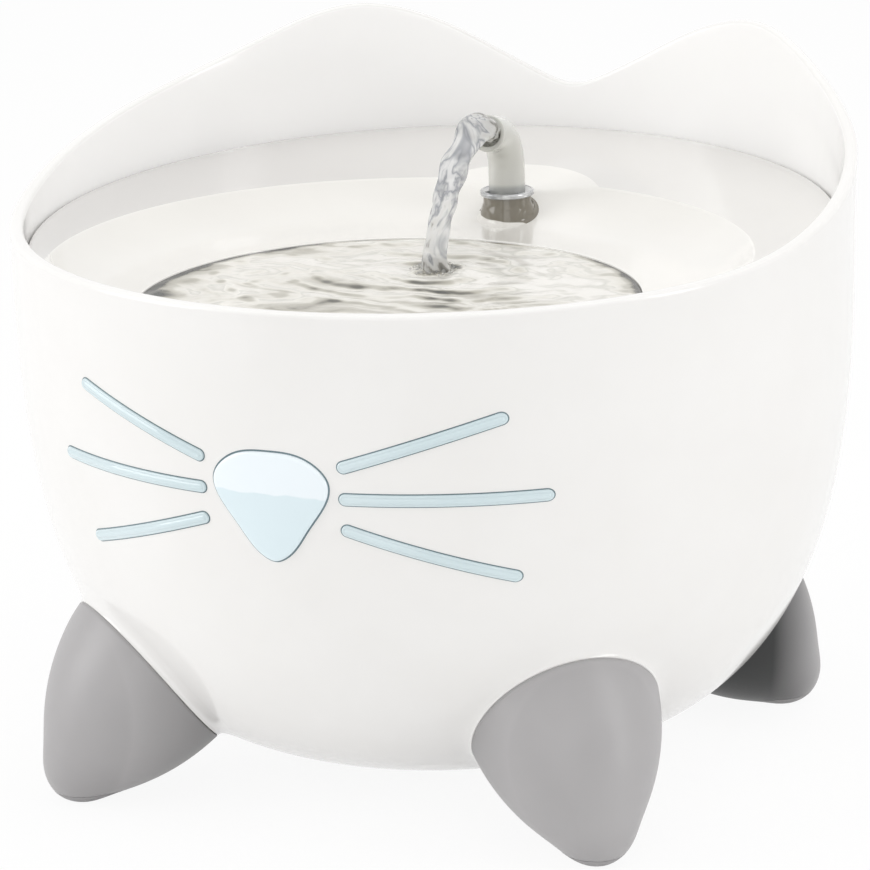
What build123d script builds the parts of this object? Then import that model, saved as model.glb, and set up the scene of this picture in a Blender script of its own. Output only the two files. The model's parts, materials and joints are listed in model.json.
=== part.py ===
from build123d import *
import os
from math import cos, radians, sin

# Pet water fountain with a cat's face. Millimetres, +Z up, the face looks along -Y, and the
# origin is on the floor under the centre of the bowl.
# A white bowl with two ears holds the water. A drinking tray drops into it, and a pump in
# a filter case under the tray lifts the water to a swivelling spout.

# ---------------------------------------------------------------- driving dimensions
# Bowl: its outer wall is a superellipse from under the centre to the rim
BODY_R = 120.5
BASE_Z = 4.5
RIM_Z = 153.5
HEIGHT_POWER = 2.743
RADIUS_POWER = 3.6
WALL = 3.0
WALL_ANGLES = [0, 4, 10, 18, 27, 37, 48, 60, 72, 82, 90]
INNER_WALL_ANGLES = [0, 4, 10, 18, 27, 37, 48, 60, 72, 80, 86]

# Top of the bowl: seat for the tray, and ears that rise from the rim at the back
SEAM_R = 116.0
SEAM_GAP = 0.3
SEAT_R = 112.5
SEAT_Z = RIM_Z - 7.0
SEAT_DEPTH = 5.0
EAR_LIMIT_Z = RIM_Z + 45.0
EAR_OUT_R = 122.3
EAR_IN_R = 119.4
# Height of the edge above RIM_Z, by azimuth from the back: a valley, the ear, the slope
EAR_RISE = [
    (0, 16.8), (6, 20.8), (12, 27.2), (18, 33.8), (24, 38.9), (32, 42.0),
    (39, 40.0), (46, 35.2), (54, 29.8), (63, 24.8), (73, 20.2), (83, 15.6),
    (93, 11.2), (103, 7.6), (114, 5.2), (126, 4.3), (152, 3.9), (180, 3.8),
]

# Face: nose window and whisker strips, let into the front wall
NOSE_TOP_Z = 119.2
NOSE_TIP_Z = 88.2
NOSE_HALF_W = 16.2
NOSE_WIDEST_Z = 111.5
NOSE_STEPS = 16
INLAY_DEPTH = 1.4
INLAY_PROUD = 0.5
INLAY_GAP = 0.1
WHISKER_W = 3.2
WHISKER_ROOT_X = 20.8
WHISKERS = {
    "upper": (116.1, 60.1, 128.8),
    "middle": (107.1, 69.6, 106.6),
    "lower": (98.2, 61.0, 84.1),
}

# Lamp behind the nose
LAMP_Z = 104.5
LAMP_HOLE_R = 7.0
LAMP_W = 26.0
LAMP_H = 24.0
LAMP_BACK_Y = -103.0
LAMP_WALL = 1.5

# Feet: claws that lean outwards; (azimuth of the tip from the front, radius of the tip)
FEET = {
    "front_left": (-42.1, 116.1),
    "front_right": (42.1, 116.1),
    "rear_left": (-119.8, 102.6),
    "rear_right": (119.8, 102.6),
}
FOOT_LEAN = 47.7
FOOT_TIP_R = 10.4
FOOT_SINK = 0.8
# Side of a claw: distance along its axis from the tip's centre, and its radius there
FOOT_SIDE = [(-10.4, 0), (-7.4, 7.4), (-1.5, 12.1), (6, 17.3), (16, 22.6), (28, 26.3), (46, 26.0), (60, 21.0)]
FOOT_WALL = 2.6
FAIRING = 1.4
PART_GAP = 0.05
PAD_H = 3.0
PAD_R = 12.0
PAD_PLUG_R = 3.0
FOOT_SCREW_INSET = 17.0
FOOT_POST_R = 5.0
SCREW_SHANK_R = 1.5
SCREW_HEAD_R = 3.1

# Drinking tray: a ledge that leans to the front, eccentric bowl, eccentric pool
LEDGE_Z = RIM_Z - 0.7
LEDGE_SLOPE = 0.15
LEDGE_LEAN = 2.2
TRAY_WALL = 2.5
BOWL_R = 100.0
BOWL_Y = -26.5
BOWL_Z = RIM_Z - 4.5
POOL_R = 71.3
POOL_Y = -35.0
POOL_Z = RIM_Z - 14.0
POOL_FLOOR_Z = POOL_Z - 15.0
# Steps of the bowl's hollow slope: share of the way across, share of the rise
BOWL_HOLLOW = [(0, 0), (0.35, 0.07), (0.7, 0.4), (1, 1)]
TRAY_BODY_R = SEAT_R - 0.6
SKIRT_WALL = 2.4
BULGE_R = 29.0
BULGE_Y = 56.0
DRAIN_ANGLES = [30, 41, 52]

# Spout and riser, on one vertical axis
SPOUT_Y = 60.0
COLLAR_TOP_Z = RIM_Z - 4.0
COLLAR_R = 8.2
COLLAR_FLANGE_Z = COLLAR_TOP_Z - 1.5
COLLAR_FOOT_Z = COLLAR_TOP_Z - 5.3
COLLAR_PLUG_R = 6.35
PILLAR_TOP_Z = COLLAR_FLANGE_Z - 0.1
PILLAR_R = 7.2
PILLAR_FOOT_R = 8.5
ELBOW_R = 5.5
ELBOW_BORE_R = 4.0
ELBOW_BEND_R = 13.0
ELBOW_BEND = 78.0
ELBOW_TIP = 5.0
ELBOW_FOOT_Z = COLLAR_TOP_Z - 5.4
SWIVEL_GAP = 0.06
SWIVEL = 45.0
LUG_HALF = 8.0
RISER_R = 4.5
RISER_BORE_R = 3.3
RISER_GAP = 0.4

# Pump, with its rotor axis along X
PUMP_Y = 47.0
PUMP_Z = 40.0
VOLUTE_R = 15.0
MOTOR_X = (7.0, 36.0)
MOTOR_HALF = 15.0
VOLUTE_X = (-6.0, 7.0)
VOLUTE_COVER_T = 2.0
ROTOR_WELL_R = 7.6
ROTOR_R = 6.4
SHAFT_R = 1.2
SHAFT_GAP = 0.05
INTAKE_DEPTH = 10.0
OUTLET_TOP_Z = 66.0

# Filter case round the pump, and the cartridge that slides up out of it
CASE_X = (-44.0, 42.0)
CASE_Y = (-18.0, 70.0)
CASE_TOP_Z = 70.0
CASE_FLOOR_Z = 19.0
CASE_WALL = 2.2
CASE_CLEAR = 0.8
LID_T = 2.2
CARTRIDGE_W = 72.0
CARTRIDGE_T = 11.0
CARTRIDGE_Y = -9.6
CARTRIDGE_TOP_Z = 75.0
CARTRIDGE_WINDOW = (62.0, 46.0)

GROMMET_Z = 129.0
GROMMET_BORE_R = 1.8

os.makedirs("parts", exist_ok=True)


def write(part, name):
    """Label a finished piece and write its file."""
    part.label = name
    export_step(part, f"parts/{name}.step")


# ---------------------------------------------------------------- shared forms
def bowl_point(angle, inset):
    """Point of the bowl's outline, from 0 degrees under the centre to 90 at the rim."""
    across = (BODY_R - inset) * sin(radians(angle)) ** (2 / RADIUS_POWER)
    depth = (RIM_Z - BASE_Z - inset) * cos(radians(angle)) ** (2 / HEIGHT_POWER)
    return (across, RIM_Z - depth)


def bowl_height(radius):
    """Height of the bowl's outer surface at a radius."""
    share = 1 - (radius / BODY_R) ** RADIUS_POWER
    return RIM_Z - (RIM_Z - BASE_Z) * share ** (1 / HEIGHT_POWER)


def bowl_form(inset):
    """The solid inside the bowl's outer wall, made smaller by inset."""
    with BuildPart() as form:
        with BuildSketch(Plane.XZ):
            with BuildLine():
                wall = Spline([bowl_point(a, inset) for a in WALL_ANGLES], tangents=[(1, 0), (0, 1)])
                Polyline(wall @ 1, (0, RIM_Z), wall @ 0)
            make_face()
        revolve(axis=Axis.Z)
    return form.part


def foot_plane(azimuth):
    """Upright plane through the bowl's axis and a foot: local X outwards, local Y up."""
    outward = Vector(sin(radians(azimuth)), -cos(radians(azimuth)), 0)
    return Plane(origin=(0, 0, 0), x_dir=outward, z_dir=outward.cross(Vector(0, 0, 1)))


def claw_form(azimuth, reach, inset=0.0):
    """A foot's whole claw, from its rounded tip to its root inside the bowl."""
    plane = foot_plane(azimuth)
    along = Vector(-cos(radians(FOOT_LEAN)), sin(radians(FOOT_LEAN)))
    across = Vector(sin(radians(FOOT_LEAN)), cos(radians(FOOT_LEAN)))
    centre = Vector(reach, FOOT_TIP_R - FOOT_SINK)
    shrink = 1 - inset / FOOT_TIP_R
    side_points = [(u * shrink, r - inset * (r > 0)) for u, r in FOOT_SIDE[:2]]
    side_points += [(u, r - inset) for u, r in FOOT_SIDE[2:]]
    tip, root = side_points[0][0], side_points[-1][0]
    with BuildPart() as form:
        with BuildSketch(plane):
            with BuildLine():
                side = Spline([centre + along * u + across * r for u, r in side_points], tangents=[across, along])
                Polyline(side @ 1, centre + along * root, centre + along * tip)
            make_face()
        start = plane.from_local_coords(centre + along * tip)
        end = plane.from_local_coords(centre + along * root)
        revolve(axis=Axis(start, end - start))
    return form.part


def upright(azimuth, radius):
    """Place on the floor plane at a foot's azimuth."""
    return (radius * sin(radians(azimuth)), -radius * cos(radians(azimuth)))


body_form = bowl_form(0.0)
fairing_form = bowl_form(-FAIRING)
inlay_bed = bowl_form(INLAY_DEPTH)
inlay_face = bowl_form(-INLAY_PROUD)
inside_form = bowl_form(WALL + 0.08)


# ---------------------------------------------------------------- face outlines
# Right half of the nose, from the middle of its top round to its tip
nose_side = Spline(
    [(0, NOSE_TOP_Z), (0.62 * NOSE_HALF_W, NOSE_TOP_Z - 1.5), (NOSE_HALF_W, NOSE_WIDEST_Z),
     (0.62 * NOSE_HALF_W, NOSE_TIP_Z + 9.8), (2.6, NOSE_TIP_Z + 0.9), (0, NOSE_TIP_Z)],
    tangents=[(1, 0), (-1, 0)],
)


def nose_prism(margin):
    """The nose's outline, grown by margin and drawn out through the front wall."""
    points = []
    for step in range(NOSE_STEPS + 1):
        at = nose_side @ (step / NOSE_STEPS)
        heading = nose_side % (step / NOSE_STEPS)
        points.append((at.X - margin * heading.Y, at.Y + margin * heading.X))
    with BuildPart() as prism:
        with BuildSketch(Plane.XZ.offset(BODY_R - 25)):
            with BuildLine():
                Spline(points, tangents=[(1, 0), (-1, 0)])
                mirror(about=Plane.YZ)
            make_face()
        extrude(amount=40)
    return prism.part


def whisker_prism(side, row, margin):
    """One whisker's outline, grown by margin and drawn out through the front wall."""
    root_z, end_x, end_z = WHISKERS[row]
    root = Vector(side * WHISKER_ROOT_X, root_z)
    end = Vector(side * end_x, end_z)
    with BuildPart() as prism:
        with BuildSketch(Plane.XZ.offset(BODY_R - 45)):
            with BuildLine():
                Line(root, end)
            trace(line_width=WHISKER_W + 2 * margin)
            with Locations(root, end):
                Circle(WHISKER_W / 2 + margin)
        extrude(amount=60)
    return prism.part


# ---------------------------------------------------------------- reservoir shell
def ear_curve(radius):
    """The rim's edge all round the bowl, from the back, drawn at a radius."""
    other_side = [(360 - azimuth, rise) for azimuth, rise in reversed(EAR_RISE[1:-1])]
    points = [
        (radius * sin(radians(azimuth)), radius * cos(radians(azimuth)), RIM_Z + rise)
        for azimuth, rise in EAR_RISE + other_side
    ]
    return Edge.make_spline(points, periodic=True)


with BuildPart() as above_rim:
    extrude(Face.make_surface_from_curves(ear_curve(80), ear_curve(140)), amount=60, dir=(0, 0, 1))

fairings = [
    (claw_form(azimuth, reach) & fairing_form) - body_form for azimuth, reach in FEET.values()
]

with BuildPart() as reservoir_shell:
    with BuildSketch(Plane.XZ):
        with BuildLine():
            outer = Spline([bowl_point(a, 0) for a in WALL_ANGLES], tangents=[(1, 0), (0, 1)])
            inner = Spline([bowl_point(a, WALL) for a in INNER_WALL_ANGLES], tangents=[(1, 0), (0, 1)])
            Polyline(
                outer @ 1,
                (EAR_OUT_R, EAR_LIMIT_Z),
                (EAR_IN_R, EAR_LIMIT_Z),
                (SEAM_R + SEAM_GAP, RIM_Z),
                (SEAM_R + SEAM_GAP, SEAT_Z),
                (SEAT_R, SEAT_Z),
                (SEAT_R, SEAT_Z - SEAT_DEPTH),
                inner @ 1,
            )
            Line(inner @ 0, outer @ 0)
        make_face()
    revolve(axis=Axis.Z)
    add(above_rim.part, mode=Mode.SUBTRACT)
    add(fairings)
    # bosses for the foot screws hang from the wall inside each foot
    for azimuth, reach in FEET.values():
        boss_r = reach - FOOT_SCREW_INSET
        with BuildSketch(Plane.XY.offset(bowl_height(boss_r) - 9)):
            with Locations(upright(azimuth, boss_r)):
                Circle(FOOT_POST_R)
        extrude(amount=9 + WALL / 2)
    # beds for the nose window and the whiskers, and the lamp's hole
    add(nose_prism(INLAY_GAP) - bowl_form(INLAY_DEPTH + 0.6), mode=Mode.SUBTRACT)
    for side in (-1, 1):
        for row in WHISKERS:
            add(whisker_prism(side, row, INLAY_GAP) - inlay_bed, mode=Mode.SUBTRACT)
    with BuildSketch(Plane.XZ.offset(BODY_R - 10)):
        with Locations((0, LAMP_Z)):
            Circle(LAMP_HOLE_R)
    extrude(amount=20, mode=Mode.SUBTRACT)
    # hole for the cable grommet in the rear wall
    with BuildSketch(Plane.XZ.offset(-BODY_R - 10)):
        with Locations((0, GROMMET_Z)):
            Circle(4.7)
    extrude(amount=20, mode=Mode.SUBTRACT)
    # pilot holes for the foot screws
    for azimuth, reach in FEET.values():
        boss_r = reach - FOOT_SCREW_INSET
        with BuildSketch(Plane.XY.offset(bowl_height(boss_r) - 10)):
            with Locations(upright(azimuth, boss_r)):
                Circle(SCREW_SHANK_R)
        extrude(amount=9.5, mode=Mode.SUBTRACT)
write(reservoir_shell.part, "reservoir_shell")

# ---------------------------------------------------------------- nose, whiskers, lamp
nose_solid = nose_prism(0.0) & inlay_face
write(nose_solid - inlay_bed, "nose_lens")

with BuildPart() as lamp_opening:
    with BuildSketch(Plane.XZ.offset(BODY_R - 12)):
        with Locations((0, LAMP_Z)):
            Circle(LAMP_HOLE_R + 1)
    extrude(amount=24)
seal_ring = (nose_prism(-0.4) & bowl_form(INLAY_DEPTH + 0.02)) - bowl_form(INLAY_DEPTH + 0.58)
write(seal_ring - lamp_opening.part, "lamp_seal")

for side, side_name in ((-1, "left"), (1, "right")):
    for row in WHISKERS:
        strip = (whisker_prism(side, row, 0.0) & inlay_face) - inlay_bed
        write(strip, f"whisker_{side_name}_{row}")

def lamp_block(inset, back_y):
    """Block of the lamp chamber's outline, made smaller by inset, from back_y to the wall."""
    with BuildPart() as block:
        with BuildSketch(Plane.XZ.offset(-back_y)):
            with Locations((0, LAMP_Z)):
                RectangleRounded(LAMP_W - 2 * inset, LAMP_H - 2 * inset, 3 - inset)
        extrude(amount=20)
    return block.part


lamp_cavity = lamp_block(LAMP_WALL, LAMP_BACK_Y - LAMP_WALL)
write((lamp_block(0, LAMP_BACK_Y) & inside_form) - lamp_cavity, "lamp_chamber")

with BuildPart() as lamp_board:
    with BuildSketch(Plane.XZ.offset(-LAMP_BACK_Y + LAMP_WALL + 0.1)):
        with Locations((0, LAMP_Z)):
            Rectangle(LAMP_W - 4, LAMP_H - 4)
    extrude(amount=1.2)
write(lamp_board.part, "lamp_board")

with BuildPart() as lamp_diodes:
    with BuildSketch(Plane.XZ.offset(-LAMP_BACK_Y + LAMP_WALL + 1.3)):
        with Locations((-5.5, LAMP_Z + 3), (5.5, LAMP_Z + 3), (0, LAMP_Z - 5)):
            Rectangle(3.5, 2.8)
    extrude(amount=1.4)
write(lamp_diodes.part, "lamp_diodes")

# ---------------------------------------------------------------- feet
foot_root = bowl_form(-FAIRING - PART_GAP)


def screw_heights(reach):
    """Where a foot's post meets its boss, and where its screw's head sits."""
    post_top = bowl_height(reach - FOOT_SCREW_INSET) - 9
    return post_top, post_top - 5


def make_foot(azimuth, reach):
    """Hollow claw with a post for its screw and a socket for its pad."""
    post_top, seat = screw_heights(reach)
    place = upright(azimuth, reach - FOOT_SCREW_INSET)
    outside = claw_form(azimuth, reach)
    with BuildPart() as below_post:
        with BuildSketch(Plane.XY.offset(PAD_H)):
            with Locations(place):
                Circle(FOOT_POST_R)
        extrude(amount=post_top - 0.05 - PAD_H)
    with BuildPart() as tip_cut:
        with BuildSketch(Plane.XY.offset(-5)):
            with Locations(upright(azimuth, reach)):
                Circle(PAD_R + PART_GAP)
        extrude(amount=5 + PAD_H)
        with BuildSketch(Plane.XY.offset(PAD_H)):
            with Locations(upright(azimuth, reach)):
                Circle(PAD_PLUG_R)
        extrude(amount=3)
        with BuildSketch(Plane.XY):
            with Locations(place):
                Circle(SCREW_HEAD_R + 0.2)
        extrude(amount=seat)
        with BuildSketch(Plane.XY):
            with Locations(place):
                Circle(SCREW_SHANK_R + 0.1)
        extrude(amount=post_top + 5)
    skin = outside - foot_root - claw_form(azimuth, reach, FOOT_WALL)
    post = (below_post.part & outside) - foot_root
    return (skin + post) - tip_cut.part


def make_pad(azimuth, reach):
    """Rubber tip of a foot, flat where it stands, with a plug into the foot."""
    with BuildPart() as slab:
        with BuildSketch(Plane.XY):
            with Locations(upright(azimuth, reach)):
                Circle(PAD_R)
        extrude(amount=PAD_H - PART_GAP)
    with BuildPart() as plug:
        with BuildSketch(Plane.XY.offset(PAD_H - 1)):
            with Locations(upright(azimuth, reach)):
                Circle(PAD_PLUG_R - 0.05)
        extrude(amount=3.5)
    return (claw_form(azimuth, reach) & slab.part) + plug.part


for foot, (azimuth, reach) in FEET.items():
    write(make_foot(azimuth, reach), f"foot_{foot}")
    write(make_pad(azimuth, reach), f"foot_pad_{foot}")

with BuildPart() as foot_screws:
    for azimuth, reach in FEET.values():
        post_top, seat = screw_heights(reach)
        with BuildSketch(Plane.XY.offset(seat - 2.2)):
            with Locations(upright(azimuth, reach - FOOT_SCREW_INSET)):
                Circle(SCREW_HEAD_R)
        extrude(amount=2.15)
        with BuildSketch(Plane.XY.offset(seat - 1)):
            with Locations(upright(azimuth, reach - FOOT_SCREW_INSET)):
                Circle(SCREW_SHANK_R - 0.05)
        extrude(amount=13)
write(foot_screws.part, "foot_screws")

# ---------------------------------------------------------------- cable grommet
with BuildPart() as cable_grommet:
    with BuildSketch(Plane.XZ.offset(-BODY_R - 1.7)):
        with Locations((0, GROMMET_Z)):
            Circle(7.5)
    extrude(amount=1.5)
    with BuildSketch(Plane.XZ.offset(-BODY_R - 0.5)):
        with Locations((0, GROMMET_Z)):
            Circle(4.6)
    extrude(amount=5)
    with BuildSketch(Plane.XZ.offset(-BODY_R + 4.4)):
        with Locations((0, GROMMET_Z)):
            Circle(6.2)
    extrude(amount=2)
    with BuildSketch(Plane.XZ.offset(-BODY_R - 5)):
        with Locations((0, GROMMET_Z)):
            Circle(GROMMET_BORE_R)
    extrude(amount=15, mode=Mode.SUBTRACT)
    chamfer(cable_grommet.edges().filter_by(GeomType.CIRCLE).group_by(Axis.Y)[-1], length=0.5)
write(cable_grommet.part, "cable_grommet")


# ---------------------------------------------------------------- drinking tray
def dish(wall):
    """Space of the sloping bowl and the pool, made larger by the tray's wall."""
    with BuildPart() as space:
        for across, rise in BOWL_HOLLOW:
            with BuildSketch(Plane.XY.offset(POOL_Z + (BOWL_Z - POOL_Z) * rise - wall)):
                with Locations((0, POOL_Y + (BOWL_Y - POOL_Y) * across)):
                    Circle(POOL_R + (BOWL_R - POOL_R) * across + wall)
        loft(ruled=True)
        with BuildSketch(Plane.XY.offset(BOWL_Z - wall)):
            with Locations((0, BOWL_Y)):
                Circle(BOWL_R + wall)
        extrude(amount=20)
        with BuildSketch(Plane.XY.offset(BOWL_Z - wall)):
            with Locations((0, BULGE_Y)):
                Circle(BULGE_R + wall)
        extrude(amount=20)
        pool_axis = Axis((0, POOL_Y, 0), (0, 0, 1))
        with BuildSketch(Plane.XZ.offset(-POOL_Y)):
            with BuildLine():
                side = Spline(
                    [(POOL_R + wall, POOL_Z + 0.4), (POOL_R - 6 + wall, POOL_FLOOR_Z + 5 - wall),
                     (POOL_R - 22, POOL_FLOOR_Z - wall), (0, POOL_FLOOR_Z - wall)],
                    tangents=[(-0.2, -1), (-1, 0)],
                )
                Polyline(side @ 1, (0, POOL_Z + 0.4), side @ 0)
            make_face()
        revolve(axis=pool_axis)
    with BuildPart() as tray_round:
        with BuildSketch(Plane.XY):
            Circle(TRAY_BODY_R - TRAY_WALL + wall)
        extrude(amount=RIM_Z + 30)
    return space.part & tray_round.part


def below_ledge(depth):
    """Space under the leaning ledge's cone, a depth below its top."""
    with BuildPart() as cone:
        with BuildSketch(Plane.XZ):
            with BuildLine():
                Polyline(
                    (0, LEDGE_Z - depth - LEDGE_SLOPE * SEAM_R),
                    (SEAM_R + 10, LEDGE_Z - depth + LEDGE_SLOPE * 10),
                    (SEAM_R + 10, 0),
                    (0, 0),
                    close=True,
                )
            make_face()
        revolve(axis=Axis.Z)
    return cone.part.rotate(Axis((0, 0, LEDGE_Z), (1, 0, 0)), LEDGE_LEAN)


ledge_plate = below_ledge(0) - below_ledge(TRAY_WALL)
under_ledge = dish(TRAY_WALL) & below_ledge(0)
with BuildPart() as ledge_disc:
    with BuildSketch(Plane.XY.offset(POOL_FLOOR_Z)):
        Circle(SEAM_R)
    extrude(amount=RIM_Z)
    # clear of the bowl's seat
    with BuildSketch(Plane.XY.offset(POOL_FLOOR_Z)):
        Circle(SEAM_R + 5)
        Circle(TRAY_BODY_R, mode=Mode.SUBTRACT)
    extrude(amount=SEAT_Z + 0.05 - POOL_FLOOR_Z, mode=Mode.SUBTRACT)
with BuildPart() as tray_skirt:
    with BuildSketch(Plane.XY.offset(SEAT_Z + 0.05)):
        Circle(SEAM_R)
        Circle(SEAM_R - SKIRT_WALL, mode=Mode.SUBTRACT)
    extrude(amount=RIM_Z - SEAT_Z + 10)

with BuildPart() as drinking_tray:
    add(ledge_plate & ledge_disc.part)
    add(tray_skirt.part & below_ledge(0))
    # outside of the bowl and pool, kept under the ledge
    add(under_ledge)
    add(dish(0.0), mode=Mode.SUBTRACT)
    # pillar under the spout, wider at its foot
    with BuildSketch(Plane.XY.offset(POOL_Z - 4)):
        with Locations((0, SPOUT_Y)):
            Circle(PILLAR_R)
    extrude(amount=PILLAR_TOP_Z - POOL_Z + 4)
    with BuildSketch(Plane.XY.offset(POOL_Z)):
        with Locations((0, SPOUT_Y)):
            Circle(PILLAR_FOOT_R)
    with BuildSketch(Plane.XY.offset(PILLAR_TOP_Z - 2)):
        with Locations((0, SPOUT_Y)):
            Circle(PILLAR_R)
    loft()
    # way for the riser, seat for its seal, and the spout's counterbore
    with BuildSketch(Plane.XY.offset(POOL_Z - 20)):
        with Locations((0, SPOUT_Y)):
            Circle(RISER_R + RISER_GAP)
    extrude(amount=60, mode=Mode.SUBTRACT)
    with BuildSketch(Plane.XY.offset(POOL_Z - 5)):
        with Locations((0, SPOUT_Y)):
            Circle(PILLAR_R - 1)
    extrude(amount=3.2, mode=Mode.SUBTRACT)
    with BuildSketch(Plane.XY.offset(ELBOW_FOOT_Z - 0.1)):
        with Locations((0, SPOUT_Y)):
            Circle(COLLAR_PLUG_R + PART_GAP)
    extrude(amount=20, mode=Mode.SUBTRACT)
    # overflow slots in the front of the bowl
    for angle in DRAIN_ANGLES:
        for side in (-1, 1):
            turn = side * angle
            slot_x = 76.5 * sin(radians(turn))
            slot_y = POOL_Y - 76.5 * cos(radians(turn))
            with BuildSketch(Plane.XY.offset(POOL_Z - 12)):
                with Locations(Location((slot_x, slot_y, 0), (0, 0, turn))):
                    SlotOverall(9, 2.4)
            extrude(amount=24, mode=Mode.SUBTRACT)
write(drinking_tray.part, "drinking_tray")

# ---------------------------------------------------------------- spout
with BuildPart() as spout_collar:
    with BuildSketch(Plane.XY.offset(COLLAR_FLANGE_Z)):
        with Locations((0, SPOUT_Y)):
            Circle(COLLAR_R)
    extrude(amount=COLLAR_TOP_Z - COLLAR_FLANGE_Z)
    fillet(spout_collar.edges().group_by(Axis.Z)[-1], radius=0.6)
    with BuildSketch(Plane.XY.offset(COLLAR_FOOT_Z)):
        with Locations((0, SPOUT_Y)):
            Circle(COLLAR_PLUG_R)
    extrude(amount=COLLAR_FLANGE_Z - COLLAR_FOOT_Z)
    with BuildSketch(Plane.XY.offset(COLLAR_FOOT_Z)):
        with Locations((0, SPOUT_Y)):
            Circle(ELBOW_R + SWIVEL_GAP)
    extrude(amount=20, mode=Mode.SUBTRACT)
    # pocket that the elbow's lug turns in, as far as its stops
    with BuildSketch(Plane.XY.offset(COLLAR_TOP_Z - 1.2)):
        with BuildLine():
            pocket = CenterArc((0, SPOUT_Y), 7.0, -90 - SWIVEL - LUG_HALF, 2 * (SWIVEL + LUG_HALF))
            Polyline(pocket @ 1, (0, SPOUT_Y), pocket @ 0)
        make_face()
    extrude(amount=5, mode=Mode.SUBTRACT)
write(spout_collar.part, "spout_collar")

with BuildPart() as riser_seal:
    with BuildSketch(Plane.XY.offset(POOL_Z - 4)):
        with Locations((0, SPOUT_Y)):
            Circle(PILLAR_R - 1.05)
            Circle(RISER_R + SHAFT_GAP, mode=Mode.SUBTRACT)
    extrude(amount=2.1)
write(riser_seal.part, "riser_seal")

with BuildPart() as spout_elbow:
    with BuildLine(Plane.YZ) as elbow_path:
        rise = Line((SPOUT_Y, ELBOW_FOOT_Z), (SPOUT_Y, COLLAR_TOP_Z + 6.5))
        bend = JernArc(start=rise @ 1, tangent=rise % 1, radius=ELBOW_BEND_R, arc_size=ELBOW_BEND)
        Line(bend @ 1, (bend @ 1) + (bend % 1) * ELBOW_TIP)
    with BuildSketch(Plane.XY.offset(ELBOW_FOOT_Z)):
        with Locations((0, SPOUT_Y)):
            Circle(ELBOW_R)
    sweep(path=elbow_path.line)
    with BuildSketch(Plane.XY.offset(ELBOW_FOOT_Z)):
        with Locations((0, SPOUT_Y)):
            Circle(ELBOW_BORE_R)
    sweep(path=elbow_path.line, mode=Mode.SUBTRACT)
    # stop lug, in the collar's pocket
    with BuildSketch(Plane.XY.offset(COLLAR_TOP_Z - 1.1)):
        with BuildLine():
            lug = CenterArc((0, SPOUT_Y), 6.8, -90 - LUG_HALF, 2 * LUG_HALF)
            inner_lug = CenterArc((0, SPOUT_Y), ELBOW_R - 0.5, -90 - LUG_HALF, 2 * LUG_HALF)
            Line(lug @ 0, inner_lug @ 0)
            Line(lug @ 1, inner_lug @ 1)
        make_face()
    extrude(amount=1.0)
write(spout_elbow.part, "spout_elbow")

with BuildPart() as riser_tube:
    with BuildSketch(Plane.XY.offset(OUTLET_TOP_Z - 8)):
        with Locations((0, SPOUT_Y)):
            Circle(6.6)
    extrude(amount=11)
    with BuildSketch(Plane.XY.offset(OUTLET_TOP_Z)):
        with Locations((0, SPOUT_Y)):
            Circle(RISER_R)
    extrude(amount=ELBOW_FOOT_Z - 1.2 - OUTLET_TOP_Z)
    with BuildSketch(Plane.XY.offset(OUTLET_TOP_Z - 9)):
        with Locations((0, SPOUT_Y)):
            Circle(5.05)
    extrude(amount=9.05, mode=Mode.SUBTRACT)
    with BuildSketch(Plane.XY.offset(OUTLET_TOP_Z - 9)):
        with Locations((0, SPOUT_Y)):
            Circle(RISER_BORE_R)
    extrude(amount=120, mode=Mode.SUBTRACT)
write(riser_tube.part, "riser_tube")

# ---------------------------------------------------------------- pump
axle = (PUMP_Y, PUMP_Z)


def rod_x(x0, x1, radius, y=PUMP_Y, z=PUMP_Z):
    """Solid cylinder along X between two stations."""
    with BuildPart() as rod:
        with BuildSketch(Plane.YZ.offset(x0)):
            with Locations((y, z)):
                Circle(radius)
        extrude(amount=x1 - x0)
    return rod.part


motor_mid = (MOTOR_X[0] + MOTOR_X[1]) / 2
with BuildPart() as pump_housing:
    with BuildSketch(Plane.YZ.offset(MOTOR_X[0])):
        with Locations(axle):
            RectangleRounded(2 * MOTOR_HALF, 2 * MOTOR_HALF, 4)
    extrude(amount=MOTOR_X[1] - MOTOR_X[0])
    fillet(pump_housing.edges().group_by(Axis.X)[0], radius=1.5)
    add(rod_x(*VOLUTE_X, VOLUTE_R))
    with BuildSketch(Plane.XY.offset(PUMP_Z)):
        with Locations((0, SPOUT_Y)):
            Circle(5.0)
    extrude(amount=OUTLET_TOP_Z - PUMP_Z)
    with BuildSketch(Plane.YZ.offset(MOTOR_X[0] + 2)):
        with Locations(axle):
            RectangleRounded(2 * MOTOR_HALF - 4, 2 * MOTOR_HALF - 4, 2.5)
    extrude(amount=40, mode=Mode.SUBTRACT)
    add(rod_x(MOTOR_X[0], MOTOR_X[1] - 2.5, ROTOR_WELL_R + 1.4))
    add(rod_x(VOLUTE_X[1] - 3, MOTOR_X[1] - 4.5, ROTOR_WELL_R), mode=Mode.SUBTRACT)
    add(rod_x(VOLUTE_X[0] - 1, VOLUTE_X[1] - 2, VOLUTE_R - 2.6), mode=Mode.SUBTRACT)
    with BuildSketch(Plane.XY.offset(PUMP_Z + 2)):
        with Locations((0, SPOUT_Y)):
            Circle(RISER_BORE_R)
    extrude(amount=60, mode=Mode.SUBTRACT)
write(pump_housing.part, "pump_housing")

CORE_X = (11.0, 20.0)
COIL_X = (21.0, 31.0)
with BuildPart() as motor_core:
    with BuildSketch(Plane.YZ.offset(CORE_X[0])):
        with Locations(axle):
            Rectangle(23, 23)
            Circle(ROTOR_WELL_R + 1.6, mode=Mode.SUBTRACT)
            Rectangle(4, 30, mode=Mode.SUBTRACT)
    extrude(amount=CORE_X[1] - CORE_X[0])
write(motor_core.part, "motor_core")

write(rod_x(*COIL_X, 12.2) - rod_x(*COIL_X, ROTOR_WELL_R + 1.6), "motor_coil")

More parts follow.
